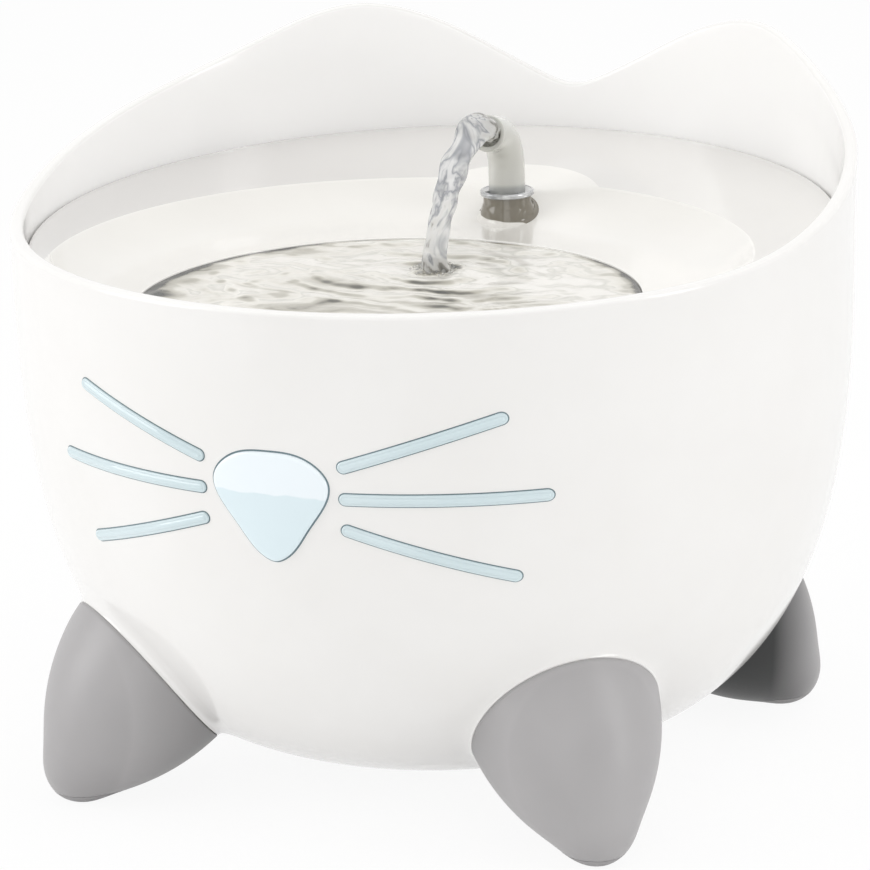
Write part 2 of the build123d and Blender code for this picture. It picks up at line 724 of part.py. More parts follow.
with BuildPart() as potting_resin:
    with BuildSketch(Plane.YZ.offset(MOTOR_X[0] + 2.05)):
        with Locations(axle):
            RectangleRounded(2 * MOTOR_HALF - 4.1, 2 * MOTOR_HALF - 4.1, 2.4)
    extrude(amount=MOTOR_X[1] - MOTOR_X[0] - 2.6)
    add(rod_x(0, MOTOR_X[1] - 2.4, ROTOR_WELL_R + 1.5), mode=Mode.SUBTRACT)
    add(rod_x(COIL_X[0] - 0.05, COIL_X[1] + 0.05, 12.3), mode=Mode.SUBTRACT)
    with BuildSketch(Plane.YZ.offset(CORE_X[0] - 0.05)):
        with Locations(axle):
            Rectangle(23.1, 23.1)
    extrude(amount=CORE_X[1] - CORE_X[0] + 0.1, mode=Mode.SUBTRACT)
write(potting_resin.part, "potting_resin")

shaft_end = MOTOR_X[1] - 4.6
cover_face = VOLUTE_X[0] - VOLUTE_COVER_T
write(rod_x(cover_face + 0.6, shaft_end, SHAFT_R), "impeller_shaft")
bush_rear = rod_x(shaft_end - 2.5, shaft_end, ROTOR_WELL_R - 0.1) - rod_x(0, 50, SHAFT_R + 0.02)
write(bush_rear, "shaft_bush_rear")
bush_front = rod_x(cover_face, VOLUTE_X[0], 2.4) - rod_x(cover_face + 0.55, 50, SHAFT_R + 0.02)
write(bush_front, "shaft_bush_front")

with BuildPart() as volute_cover:
    add(rod_x(cover_face, VOLUTE_X[0] - 0.05, VOLUTE_R))
    add(rod_x(VOLUTE_X[0] - 0.1, VOLUTE_X[0] + 1.5, VOLUTE_R - 2.7))
    add(rod_x(VOLUTE_X[0] - 0.1, VOLUTE_X[0] + 2, VOLUTE_R - 3.9), mode=Mode.SUBTRACT)
    add(rod_x(cover_face - 1, VOLUTE_X[0] + 2, 6.5), mode=Mode.SUBTRACT)
    with BuildSketch(Plane.YZ.offset(cover_face)):
        with Locations(axle):
            with PolarLocations(0, 3):
                Rectangle(8, 1.6, align=(Align.MIN, Align.CENTER))
            Circle(3.6)
            Circle(2.45, mode=Mode.SUBTRACT)
    extrude(amount=VOLUTE_COVER_T - 0.05)
write(volute_cover.part, "volute_cover")

with BuildPart() as impeller:
    add(rod_x(VOLUTE_X[0] + 1.8, VOLUTE_X[1] - 3.4, 3.2))
    add(rod_x(VOLUTE_X[1] - 4.4, VOLUTE_X[1] - 3.4, 8.5))
    with BuildSketch(Plane.YZ.offset(VOLUTE_X[0] + 2.2)):
        with Locations(axle):
            with PolarLocations(0, 6):
                Rectangle(10.5, 1.2, align=(Align.MIN, Align.CENTER))
    extrude(amount=5)
    add(rod_x(VOLUTE_X[1] - 3.5, VOLUTE_X[1] + 1.0, 3.6))
    add(rod_x(-20, 50, SHAFT_R + SHAFT_GAP), mode=Mode.SUBTRACT)
write(impeller.part, "impeller")
rotor = rod_x(VOLUTE_X[1] + 1.0, shaft_end - 3.2, ROTOR_R) - rod_x(0, 50, SHAFT_R + SHAFT_GAP)
write(rotor, "rotor_magnet")

# intake cover: a slotted cup over the volute, with a foam disc inside
intake_back = cover_face - 0.3
intake_front = intake_back - INTAKE_DEPTH
with BuildPart() as intake_cover:
    add(rod_x(intake_front, intake_back, VOLUTE_R))
    add(rod_x(intake_front + 1.6, intake_back + 1, VOLUTE_R - 1.8), mode=Mode.SUBTRACT)
    with BuildSketch(Plane.YZ.offset(intake_front)):
        with Locations(axle):
            with GridLocations(4.4, 0, 5, 1):
                SlotOverall(17, 2.2, rotation=90)
    extrude(amount=1.7, mode=Mode.SUBTRACT)
    # guides for the flow slider, above and below the slots it covers
    with BuildSketch(Plane.YZ.offset(intake_front)):
        with Locations((PUMP_Y, PUMP_Z + 10.4), (PUMP_Y, PUMP_Z - 10.4)):
            Rectangle(13, 1.4)
    extrude(amount=-1.9)
write(intake_cover.part, "intake_cover")

write(rod_x(intake_front + 1.8, intake_back - 0.6, VOLUTE_R - 2.0), "intake_foam")

with BuildPart() as flow_slider:
    with BuildSketch(Plane.YZ.offset(intake_front - 0.15)):
        with Locations((PUMP_Y + 2.2, PUMP_Z)):
            Rectangle(6, 19)
        with Locations((PUMP_Y, PUMP_Z)):
            Rectangle(10, 1.8)
    extrude(amount=-1.4)
    with BuildSketch(Plane.YZ.offset(intake_front - 1.4)):
        with Locations((PUMP_Y + 2.2, PUMP_Z)):
            Rectangle(1.6, 9)
    extrude(amount=-2)
write(flow_slider.part, "flow_slider")

cup_top = PUMP_Z - MOTOR_HALF
for index, (cup_x, cup_dy) in enumerate([(13, -8.5), (13, 8.5), (29, -8.5), (29, 8.5)], start=1):
    with BuildPart() as suction_cup:
        with BuildSketch(Plane.XZ.offset(-PUMP_Y - cup_dy)):
            with BuildLine():
                Polyline(
                    (cup_x, CASE_FLOOR_Z + 1.6),
                    (cup_x + 4.6, CASE_FLOOR_Z + 0.05),
                    (cup_x + 5.2, CASE_FLOOR_Z + 0.05),
                    (cup_x + 2.4, CASE_FLOOR_Z + 3.4),
                    (cup_x + 2.4, cup_top - 0.05),
                    (cup_x, cup_top - 0.05),
                    close=True,
                )
            make_face()
        revolve(axis=Axis((cup_x, PUMP_Y + cup_dy, 0), (0, 0, 1)))
    write(suction_cup.part, f"suction_cup_{index}")


# ---------------------------------------------------------------- filter case and cartridge
def case_block(inset, low_z, high_z):
    """Rounded block of the filter case's plan, made smaller by inset."""
    width = CASE_X[1] - CASE_X[0] - 2 * inset
    depth = CASE_Y[1] - CASE_Y[0] - 2 * inset
    with BuildPart() as block:
        with BuildSketch(Plane.XY.offset(low_z)):
            with Locations(((CASE_X[0] + CASE_X[1]) / 2, (CASE_Y[0] + CASE_Y[1]) / 2)):
                RectangleRounded(width, depth, 9 - inset)
        extrude(amount=high_z - low_z)
    return block.part


case_outside = case_block(0, CASE_FLOOR_Z - CASE_WALL, CASE_TOP_Z) & bowl_form(WALL + CASE_CLEAR)
case_inside = case_block(CASE_WALL, CASE_FLOOR_Z, CASE_TOP_Z + 10) & bowl_form(WALL + CASE_CLEAR + CASE_WALL)
rail_y = CARTRIDGE_Y + CARTRIDGE_T / 2 + 0.35
with BuildPart() as case_ribs:
    with BuildSketch():
        with Locations((-1, 26)):
            with GridLocations(26, 0, 3, 1):
                Rectangle(CASE_WALL, 70)
    extrude(amount=CASE_FLOOR_Z - CASE_WALL / 2)
with BuildPart() as filter_case:
    add(case_outside - case_inside)
    # ribs that stand on the bowl's floor
    add(case_ribs.part & bowl_form(WALL + PART_GAP))
    # rails behind the cartridge
    with BuildSketch(Plane.XY.offset(CASE_FLOOR_Z - 0.5)):
        with Locations((-39.5, rail_y), (37.5, rail_y)):
            Rectangle(9, 2, align=(Align.CENTER, Align.MIN))
    extrude(amount=CASE_TOP_Z - CASE_FLOOR_Z - 4)
    # grille in the front wall
    with BuildSketch(Plane.XZ.offset(-CASE_Y[0] - 5)):
        with Locations((-1, (CASE_FLOOR_Z + CASE_TOP_Z) / 2)):
            with GridLocations(5.6, 0, 11, 1):
                SlotOverall(38, 2.8, rotation=90)
    extrude(amount=10, mode=Mode.SUBTRACT)
write(filter_case.part, "filter_case")

with BuildPart() as filter_case_lid:
    add(case_block(0.4, CASE_TOP_Z + 0.05, CASE_TOP_Z + LID_T))
    add(case_block(CASE_WALL + 0.25, CASE_TOP_Z - 2.5, CASE_TOP_Z + 0.5))
    add(case_block(CASE_WALL + 2, CASE_TOP_Z - 3, CASE_TOP_Z), mode=Mode.SUBTRACT)
    with BuildSketch(Plane.XY.offset(CASE_TOP_Z - 5)):
        with Locations((0, SPOUT_Y)):
            Circle(7.4)
        with Locations((-1, CARTRIDGE_Y)):
            Rectangle(CARTRIDGE_W + 2, CARTRIDGE_T + 1.2)
    extrude(amount=10, mode=Mode.SUBTRACT)
write(filter_case_lid.part, "filter_case_lid")

frame_low = CASE_FLOOR_Z + 0.3
frame_mid_z = (frame_low + CASE_TOP_Z) / 2
with BuildPart() as filter_frame:
    with BuildSketch(Plane.XZ.offset(-CARTRIDGE_Y - CARTRIDGE_T / 2)):
        with Locations((-1, frame_low)):
            Rectangle(CARTRIDGE_W, CARTRIDGE_TOP_Z - frame_low, align=(Align.CENTER, Align.MIN))
    extrude(amount=CARTRIDGE_T)
    with BuildSketch(Plane.XZ.offset(-CARTRIDGE_Y - CARTRIDGE_T / 2 + 1.4)):
        with Locations((-1, frame_mid_z)):
            Rectangle(*CARTRIDGE_WINDOW)
    extrude(amount=CARTRIDGE_T, mode=Mode.SUBTRACT)
    with BuildSketch(Plane.XZ.offset(-CARTRIDGE_Y - CARTRIDGE_T / 2 - 1)):
        with Locations((-1, frame_mid_z)):
            with GridLocations(10.4, 11.6, 6, 4):
                Rectangle(8.6, 9.8)
    extrude(amount=5, mode=Mode.SUBTRACT)
    # lifting tab
    with BuildSketch(Plane.XY.offset(CARTRIDGE_TOP_Z)):
        with Locations((-1, CARTRIDGE_Y)):
            Rectangle(24, 2.4)
    extrude(amount=5)
    fillet(filter_frame.edges().filter_by(Axis.Y).group_by(Axis.Z)[-1], radius=3)
write(filter_frame.part, "filter_frame")

window_w, window_h = CARTRIDGE_WINDOW
front_y = CARTRIDGE_Y - CARTRIDGE_T / 2
with BuildPart() as filter_foam:
    with BuildSketch(Plane.XZ.offset(-front_y - 4.8)):
        with Locations((-1, frame_mid_z)):
            Rectangle(window_w - 0.2, window_h - 0.2)
    extrude(amount=4.7)
write(filter_foam.part, "filter_foam")

with BuildPart() as filter_carbon_pack:
    with BuildSketch(Plane.XZ.offset(-front_y - 9.4)):
        with Locations((-1, frame_mid_z)):
            Rectangle(window_w - 0.2, window_h - 0.2)
    extrude(amount=4.5)
write(filter_carbon_pack.part, "filter_carbon_pack")
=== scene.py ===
# %% [markdown]
# # A pet water fountain with a cat's face
#
# A white bowl with two ears stands on four grey claw feet. A drinking tray lies in the
# bowl, and a clear spout pours water on it. The solids come from a CAD model. Here each
# one gets its finish, and the ones that are seen from outside get a finer mesh.
#
# First the CAD solids are loaded. They share one frame with everything made here:
# the origin is on the floor under the bowl, +Z is up and the face looks along -Y.

# %% Load the CAD solids
import json

import bmesh
import bpy
import numpy as np
from mathutils import Matrix, Vector

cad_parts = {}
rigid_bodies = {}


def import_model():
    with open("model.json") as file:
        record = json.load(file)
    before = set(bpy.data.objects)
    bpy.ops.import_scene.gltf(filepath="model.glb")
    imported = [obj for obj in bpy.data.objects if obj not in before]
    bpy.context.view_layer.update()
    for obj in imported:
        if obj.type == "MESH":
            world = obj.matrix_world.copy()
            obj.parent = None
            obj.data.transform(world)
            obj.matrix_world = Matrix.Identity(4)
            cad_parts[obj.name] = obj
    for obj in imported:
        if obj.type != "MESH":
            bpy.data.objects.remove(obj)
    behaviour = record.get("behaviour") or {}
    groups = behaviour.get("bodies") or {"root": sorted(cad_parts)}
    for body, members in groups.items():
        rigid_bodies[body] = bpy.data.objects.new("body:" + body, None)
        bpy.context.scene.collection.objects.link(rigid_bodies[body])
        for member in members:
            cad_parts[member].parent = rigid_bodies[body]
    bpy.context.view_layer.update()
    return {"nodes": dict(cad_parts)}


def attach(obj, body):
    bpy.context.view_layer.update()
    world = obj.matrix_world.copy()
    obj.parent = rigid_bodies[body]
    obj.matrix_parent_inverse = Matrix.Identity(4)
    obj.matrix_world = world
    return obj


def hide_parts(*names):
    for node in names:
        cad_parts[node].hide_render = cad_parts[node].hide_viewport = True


for leftover in list(bpy.data.objects):
    bpy.data.objects.remove(leftover)
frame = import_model()
nodes = frame["nodes"]
print("CAD nodes:", len(nodes))

# %% [markdown]
# ## Sizes
#
# The CAD source works in millimetres, so the sizes here are in millimetres too. They are
# turned into metres once, where a mesh is made. The outer wall of the bowl is a
# superellipse, which is fuller than an ellipse, turned about the upright axis.

# %% Sizes of the bowl, feet, tray and spout
MM = 0.001
BODY_R, BASE_Z, RIM_Z, WALL = 120.5, 4.5, 153.5, 3.0
HEIGHT_POWER, RADIUS_POWER = 2.743, 3.6
SEAM_R, SEAM_GAP, SEAT_R, SEAT_Z = 116.0, 0.3, 112.5, 146.5
EAR_OUT_R, EAR_IN_R, EAR_H = 122.3, 119.4, 45.0
POOL_R, POOL_Y, POOL_Z, POOL_FLOOR_Z = 71.3, -35.0, 139.5, 124.5
BOWL_R, BOWL_Y = 100.0, -26.5
BULGE_R, BULGE_Y = 29.0, 56.0
TRAY_BODY_R, TRAY_WALL = 111.9, 2.5
LEDGE_Z, LEDGE_SLOPE, LEDGE_LEAN = 152.8, 0.15, np.radians(2.2)
SPOUT_Y, COLLAR_TOP_Z = 60.0, 149.5
TAU = 2 * np.pi

# %% [markdown]
# ## Helpers
#
# Most pieces are grids: rows of points that run round a shape. One function turns such a
# grid into a closed mesh, so the maths of each piece is only about where its points lie.
# Points that meet at a pole are merged, and the faces are then turned to face outwards.

# %% From a grid of points to a piece
def mesh_from_grid(name, grid, wrap_rows=False, wrap_columns=True):
    """Mesh of quads from grid[row][column] = (x, y, z) in millimetres."""
    rows, columns = grid.shape[:2]
    row_steps = rows if wrap_rows else rows - 1
    column_steps = columns if wrap_columns else columns - 1
    row, column = np.meshgrid(np.arange(row_steps), np.arange(column_steps), indexing="ij")
    next_row, next_column = (row + 1) % rows, (column + 1) % columns
    corners = [row * columns + column, row * columns + next_column,
               next_row * columns + next_column, next_row * columns + column]
    faces = np.stack([c.ravel() for c in corners], axis=1)
    mesh = bpy.data.meshes.new(name)
    mesh.from_pydata((grid.reshape(-1, 3) * MM).tolist(), [], faces.tolist())
    return mesh


def tidy_mesh(mesh, sharp_angle=40.0):
    """Merge doubles, close poles, turn faces outwards, and shade smooth up to an angle."""
    work = bmesh.new()
    work.from_mesh(mesh)
    bmesh.ops.remove_doubles(work, verts=work.verts, dist=2e-6)
    bmesh.ops.dissolve_degenerate(work, edges=work.edges, dist=1e-7)
    bmesh.ops.recalc_face_normals(work, faces=work.faces)
    work.to_mesh(mesh)
    work.free()
    mesh.shade_smooth()
    mesh.set_sharp_from_angle(angle=np.radians(sharp_angle))
    return mesh


def mesh_from_rows(name, rows, sharp_angle=40.0, **wrap):
    """A tidied mesh from a list of rows of points."""
    return tidy_mesh(mesh_from_grid(name, np.array(rows), **wrap), sharp_angle)


def add_piece(mesh, body, material, replaces=()):
    """Put a finished mesh in the scene, on a CAD body, in place of some CAD nodes."""
    piece = bpy.data.objects.new(mesh.name, mesh)
    bpy.context.scene.collection.objects.link(piece)
    mesh.materials.clear()
    mesh.materials.append(material)
    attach(piece, body)
    if replaces:
        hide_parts(*replaces)
    print(f"{mesh.name}: {len(mesh.polygons)} faces")
    return piece


def vertex_array(mesh):
    """The points of a mesh in millimetres."""
    flat = np.zeros(len(mesh.vertices) * 3)
    mesh.vertices.foreach_get("co", flat)
    return flat.reshape(-1, 3) / MM


def store(mesh, name, value):
    """Keep a number from 0 to 1 on each point, for a finish to read."""
    kept = mesh.attributes.new(name, "FLOAT", "POINT")
    kept.data.foreach_set("value", np.clip(value, 0, 1).astype(np.float32))


# %% [markdown]
# Many rows are rings round an upright axis. A ring is made of unit directions, with a
# radius and a height that can differ from point to point.

# %% Rings and shares
def full_turn(count):
    """Angles in even steps round a full turn."""
    return np.arange(count) * TAU / count


def from_right(turn):
    """Unit directions (x, y) at angles that run anticlockwise from +X."""
    return np.stack([np.cos(turn), np.sin(turn)], axis=1)


def from_back(turn):
    """Unit directions (x, y) at angles that run clockwise from +Y."""
    return np.stack([np.sin(turn), np.cos(turn)], axis=1)


def ring_of(directions, radius, height, middle_y=0.0):
    """Points round a middle on the centre line; the height can be a function of the points."""
    flat = (0, middle_y) + np.broadcast_to(radius, len(directions))[:, None] * directions
    z = height(flat) if callable(height) else np.broadcast_to(height, len(directions))
    return np.column_stack([flat, z])


def rounding(radius, degrees):
    """Steps of a quarter round at angles: what its cosine and its sine lack of the radius."""
    return [(radius * (1 - np.cos(a)), radius * (1 - np.sin(a))) for a in np.radians(degrees)]


def unit(vectors):
    """The same directions, each with length 1."""
    return vectors / np.linalg.norm(vectors, axis=-1, keepdims=True)


def share_of(value, start, end):
    """0 before start, 1 past end, and in proportion between the two."""
    return np.clip((value - start) / (end - start), 0, 1)


# %% [markdown]
# A spline through a few points gives a smooth edge or side. This is the clamped cubic
# spline of the textbooks: it solves one small set of equations for the curve's bend at
# each point. With no end directions the curve closes on itself.

# %% Splines
def spline(points, count, start=None, end=None):
    """Smooth curve through points: clamped by two end directions, or closed without."""
    points = np.asarray(points, float)
    if start is None:
        points = np.vstack([points, points[:1]])
    step = np.linalg.norm(np.diff(points, axis=0), axis=1)
    slope = np.diff(points, axis=0) / step[:, None]
    last = len(points) - 1
    system = np.zeros((last + 1, last + 1))
    target = np.zeros(points.shape)
    for i in range(1, last):
        system[i, i - 1:i + 2] = step[i - 1], 2 * (step[i - 1] + step[i]), step[i]
        target[i] = 6 * (slope[i] - slope[i - 1])
    if start is None:
        system[0, [0, 1, last - 1]] = 2 * (step[0] + step[-1]), step[0], step[-1]
        target[0] = 6 * (slope[0] - slope[-1])
        system[last, [0, last]] = 1, -1
    else:
        system[0, :2] = 2 * step[0], step[0]
        system[last, last - 1:] = step[-1], 2 * step[-1]
        target[0] = 6 * (slope[0] - start)
        target[last] = 6 * (end - slope[-1])
    bend = np.linalg.solve(system, target)
    knots = np.concatenate([[0], np.cumsum(step)])
    at = np.linspace(0, knots[-1], count)
    i = np.clip(np.searchsorted(knots, at, side="right") - 1, 0, last - 1)
    gone, left, width = (at - knots[i])[:, None], (knots[i + 1] - at)[:, None], step[i][:, None]
    return (bend[i] * left ** 3 + bend[i + 1] * gone ** 3) / (6 * width) \
        + (points[i] / width - bend[i] * width / 6) * left \
        + (points[i + 1] / width - bend[i + 1] * width / 6) * gone


def even(path, count):
    """The same path with its points spaced evenly."""
    path = np.asarray(path, float)
    run = np.concatenate([[0], np.cumsum(np.linalg.norm(np.diff(path, axis=0), axis=1))])
    at = np.linspace(0, run[-1], count)
    return np.stack([np.interp(at, run, path[:, k]) for k in range(path.shape[1])], axis=1)


# %% [markdown]
# The bowl's wall answers two questions for the other pieces: how wide it is at a height,
# and where a point lands on it. The second walks down the wall's gradient for a few steps.

# %% The bowl's wall as a formula
def wall_profile(inset, count):
    """Radius and height from under the centre up to the rim, evenly spaced."""
    angle = np.radians(np.linspace(0, 90, 3000))
    across = (BODY_R - inset) * np.sin(angle) ** (2 / RADIUS_POWER)
    height = RIM_Z - (RIM_Z - BASE_Z - inset) * np.cos(angle) ** (2 / HEIGHT_POWER)
    return even(np.stack([across, height], axis=1), count)


def wall_error(points, inset=0.0):
    """Below 0 inside the wall, above 0 outside it."""
    across = np.linalg.norm(points[..., :2], axis=-1) / (BODY_R - inset)
    depth = np.clip(RIM_Z - points[..., 2], 0, None) / (RIM_Z - BASE_Z - inset)
    return across ** RADIUS_POWER + depth ** HEIGHT_POWER - 1


def wall_slope(points, inset=0.0):
    """How wall_error grows along x, y and z."""
    radius = np.maximum(np.linalg.norm(points[..., :2], axis=-1), 1e-6)
    size = BODY_R - inset
    pull = RADIUS_POWER * (radius / size) ** (RADIUS_POWER - 1) / size / radius
    height = RIM_Z - BASE_Z - inset
    depth = np.clip(RIM_Z - points[..., 2], 0, None)
    fall = -HEIGHT_POWER * (depth / height) ** (HEIGHT_POWER - 1) / height
    return np.concatenate([points[..., :2] * pull[..., None], fall[..., None]], axis=-1)


def onto_wall(points, inset=0.0, steps=12):
    """Move points to the nearest place on the wall."""
    points = np.array(points, float)
    for _ in range(steps):
        slope = wall_slope(points, inset)
        points -= (wall_error(points, inset) / (slope ** 2).sum(-1))[..., None] * slope
    return points


def wall_normal(points):
    return unit(wall_slope(points))


def front_of_wall(outline, lift=0.0):
    """Points of the front wall behind an outline of (x, z), lifted off it along its normal."""
    x, z = outline[..., 0], outline[..., 1]
    depth = (RIM_Z - z) / (RIM_Z - BASE_Z)
    radius = BODY_R * (1 - depth ** HEIGHT_POWER) ** (1 / RADIUS_POWER)
    points = np.stack([x, -np.sqrt(radius ** 2 - x ** 2), z], axis=-1)
    return points + lift * wall_normal(points)


print("Wall half way up:", np.round(wall_profile(0, 3)[1], 1), "mm")

# %% [markdown]
# ## Camera
#
# The camera looks down a little at the front and its right side, through a long lens, so
# the upright sides stay almost parallel. It is turned a little about its own view axis.

# %% Camera
CAMERA_AT = Vector((0.4293, -1.0530, 0.4255))
LOOK_ALONG = Vector((-0.3629, 0.8877, -0.2832))
LENS, ROLL = 168.6, -1.7

camera_data = bpy.data.cameras.new("camera")
camera_data.lens = LENS
camera_data.sensor_width = 36.0
camera_data.clip_end = 20.0
camera = bpy.data.objects.new("camera", camera_data)
bpy.context.scene.collection.objects.link(camera)
turn = LOOK_ALONG.to_track_quat("-Z", "Y").to_matrix().to_4x4()
camera.matrix_world = Matrix.Translation(CAMERA_AT) @ turn @ Matrix.Rotation(np.radians(ROLL), 4, "Z")
bpy.context.scene.camera = camera

# %% [markdown]
# ## Floor and light
#
# A white part on a white floor needs soft light from several sides. The world gives even
# light from all around. Rays from the camera, and those that glass or gloss send on, see
# a plain white world instead, so the background is white while the light stays level.

# %% World
scene = bpy.context.scene
scene.view_settings.view_transform = "Standard"
world = bpy.data.worlds.new("studio")
scene.world = world
world.use_nodes = True
SKY_LIGHT, SKY_TINT = 0.62, (1.0, 0.995, 0.985, 1)
WHITE = (1, 1, 1, 1)


def wire(tree, kind, links=(), **values):
    """Add a node, set its inputs or settings by name, and link sockets into it."""
    node = tree.nodes.new(kind)
    for name, value in values.items():
        if hasattr(node, name):
            setattr(node, name, value)
        else:
            node.inputs[name.replace("_", " ")].default_value = value
    for name, socket in dict(links).items():
        tree.links.new(socket, node.inputs[name])
    return node


def maths(tree, operation, *terms):
    """The result of a Math node whose terms are sockets or numbers."""
    node = wire(tree, "ShaderNodeMath", operation=operation)
    for term_socket, term in zip(node.inputs, terms):
        if isinstance(term, bpy.types.NodeSocket):
            tree.links.new(term, term_socket)
        else:
            term_socket.default_value = term
    return node.outputs[0]


def seen_rays(tree):
    """1 for rays from the camera, and for those that gloss or glass send on."""
    path = tree.nodes.new("ShaderNodeLightPath").outputs
    sent_on = maths(tree, "MAXIMUM", path["Is Glossy Ray"], path["Is Transmission Ray"])
    return maths(tree, "MAXIMUM", path["Is Camera Ray"], sent_on)


tree = world.node_tree
tree.nodes.clear()
light = wire(tree, "ShaderNodeBackground", Color=SKY_TINT, Strength=SKY_LIGHT)
seen = wire(tree, "ShaderNodeBackground", Color=WHITE, Strength=1.0)
mixed = wire(tree, "ShaderNodeMixShader", {0: seen_rays(tree), 1: light.outputs[0], 2: seen.outputs[0]})
wire(tree, "ShaderNodeOutputWorld", {"Surface": mixed.outputs[0]})

# %% Soft boxes
def soft_box(name, at, size, watts, target=(0, 0, 0.09)):
    lamp = bpy.data.lights.new(name, "AREA")
    lamp.shape, lamp.size, lamp.size_y, lamp.energy = "RECTANGLE", size[0], size[1], watts
    box = bpy.data.objects.new(name, lamp)
    box.location = at
    box.rotation_mode = "QUATERNION"
    box.rotation_quaternion = (Vector(at) - Vector(target)).to_track_quat("Z", "Y")
    scene.collection.objects.link(box)
    return box


soft_box("box_left", (-1.3, -0.8, 0.7), (0.9, 1.2), 8.5)
soft_box("box_right", (1.5, -0.1, 0.6), (0.35, 1.4), 5.8)
soft_box("box_top", (0.1, 0.2, 1.6), (1.4, 1.4), 9).visible_glossy = False
soft_box("box_front", (0.3, -1.6, 0.5), (1.2, 0.6), 2.0)

# %% Floor
FLOOR_HALF, FLOOR_TINT, FLOOR_WHITE_SHARE = 6.0, (0.93, 0.93, 0.93, 1), 0.92
floor_mesh = bpy.data.meshes.new("floor")
floor_corners = [(FLOOR_HALF * x, FLOOR_HALF * y, 0) for x, y in ((-1, -1), (1, -1), (1, 1), (-1, 1))]
floor_mesh.from_pydata(floor_corners, [], [(0, 1, 2, 3)])
floor = bpy.data.objects.new("floor", floor_mesh)
scene.collection.objects.link(floor)


def new_finish(name):
    """An empty material and its tree of nodes."""
    finish = bpy.data.materials.new(name)
    finish.use_nodes = True
    finish.node_tree.nodes.clear()
    return finish, finish.node_tree


floor_finish, tree = new_finish("floor_finish")
matt = wire(tree, "ShaderNodeBsdfDiffuse", Color=FLOOR_TINT)
glow = wire(tree, "ShaderNodeEmission", Color=WHITE, Strength=1.0)
white_share = maths(tree, "MULTIPLY", seen_rays(tree), FLOOR_WHITE_SHARE)
mixed = wire(tree, "ShaderNodeMixShader", {0: white_share, 1: matt.outputs[0], 2: glow.outputs[0]})
wire(tree, "ShaderNodeOutputMaterial", {"Surface": mixed.outputs[0]})
floor_mesh.materials.append(floor_finish)

# %% [markdown]
# ## Finishes
#
# Moulded plastic is never quite even. Each finish has a faint change of tint over a few
# centimetres, a fine grain in its gloss, and a very small bump like the skin of the mould.
# The patterns read Object coordinates, so they stay on a piece when it moves.

# %% Plastic finishes
PATCH_FROM, PATCH_TO = 0.35, 0.65  # the noise levels at which the two tints are pure
PATCH_SHARE, SHADE_AT = 0.1, 0.94  # the patches' share of the level next to a shade, and its stop


def tint_ramp(tree, level, stops):
    """The tint that a level picks from stops of (position, tint)."""
    colour = wire(tree, "ShaderNodeValToRGB", {"Fac": level})
    ramp = colour.color_ramp.elements
    for element, (position, tint) in zip(ramp, (stops[0], stops[-1])):
        element.position, element.color = position, (*tint, 1)
    for position, tint in stops[1:-1]:
        ramp.new(position).color = (*tint, 1)
    return colour.outputs[0]


def principled(finish, links, **sockets):
    """End a finish with a Principled shader, its sockets linked or set by name."""
    shader = wire(finish.node_tree, "ShaderNodeBsdfPrincipled", links, **sockets)
    wire(finish.node_tree, "ShaderNodeOutputMaterial", {"Surface": shader.outputs[0]})
    return finish


def plastic(name, tint, other_tint, gloss=(0.12, 0.2), patch=0.04, grain=0.0006, bump=0.02, shade=None,
            **sockets):
    """Moulded plastic: two near tints in patches, grain in the gloss, a fine bump.

    A third tint, shade, shows where the points' shade attribute is above 0: painted shade
    on the claws and the tray's ledge, painted light on the bowl's inner wall.
    """
    finish, tree = new_finish(name)
    place = tree.nodes.new("ShaderNodeTexCoord").outputs["Object"]
    level = wire(tree, "ShaderNodeTexNoise", {"Vector": place}, Scale=1 / patch, Detail=3.0).outputs["Fac"]
    stops = [(PATCH_FROM, tint), (PATCH_TO, other_tint)]
    if shade:
        mark = wire(tree, "ShaderNodeAttribute", attribute_name="shade").outputs["Fac"]
        level = maths(tree, "MULTIPLY_ADD", mark, 1 / PATCH_SHARE - 1, level)
        level = maths(tree, "MULTIPLY", level, PATCH_SHARE)
        stops = [(position * PATCH_SHARE, colour) for position, colour in stops] + [(SHADE_AT, shade)]
    grains = wire(tree, "ShaderNodeTexNoise", {"Vector": place}, Scale=1 / grain, Detail=2.0).outputs["Fac"]
    rough = wire(tree, "ShaderNodeMapRange", {"Value": grains}, To_Min=gloss[0], To_Max=gloss[1])
    skin = wire(tree, "ShaderNodeBump", {"Height": grains}, Strength=bump, Distance=grain / 4)
    return principled(finish, {"Base Color": tint_ramp(tree, level, stops), "Roughness": rough.outputs[0],
                               "Normal": skin.outputs[0]}, **sockets)


# The third tints are painted: paler painted light on the bowl's inner wall, and painted shade on the tray's
# ledge and on the claws.
white_gloss = plastic("white_gloss", (0.86, 0.85, 0.835), (0.88, 0.872, 0.86), shade=(0.99, 0.985, 0.98),
                      Coat_Weight=0.3, Coat_Roughness=0.04)
tray_gloss = plastic("tray_gloss", (0.83, 0.815, 0.78), (0.85, 0.835, 0.80), shade=(0.64, 0.625, 0.61),
                     Coat_Weight=0.8, Coat_Roughness=0.02)
foot_satin = plastic("foot_satin", (0.39, 0.38, 0.385), (0.42, 0.41, 0.415), gloss=(0.34, 0.46), bump=0.06,
                     shade=(0.015, 0.016, 0.016))
blue_gloss = plastic("blue_gloss", (0.68, 0.81, 0.85), (0.74, 0.86, 0.90), gloss=(0.03, 0.07), bump=0.0,
                     Transmission_Weight=0.1, IOR=1.49, Coat_Weight=0.6, Coat_Roughness=0.02)
blue_edge = plastic("blue_edge", (0.13, 0.19, 0.21), (0.18, 0.25, 0.28), gloss=(0.2, 0.3))
satin_white = plastic("satin_white", (0.78, 0.78, 0.77), (0.80, 0.80, 0.79), gloss=(0.35, 0.5), bump=0.08)
black_matt = plastic("black_matt", (0.016, 0.016, 0.018), (0.022, 0.022, 0.024), gloss=(0.4, 0.55), bump=0.1)
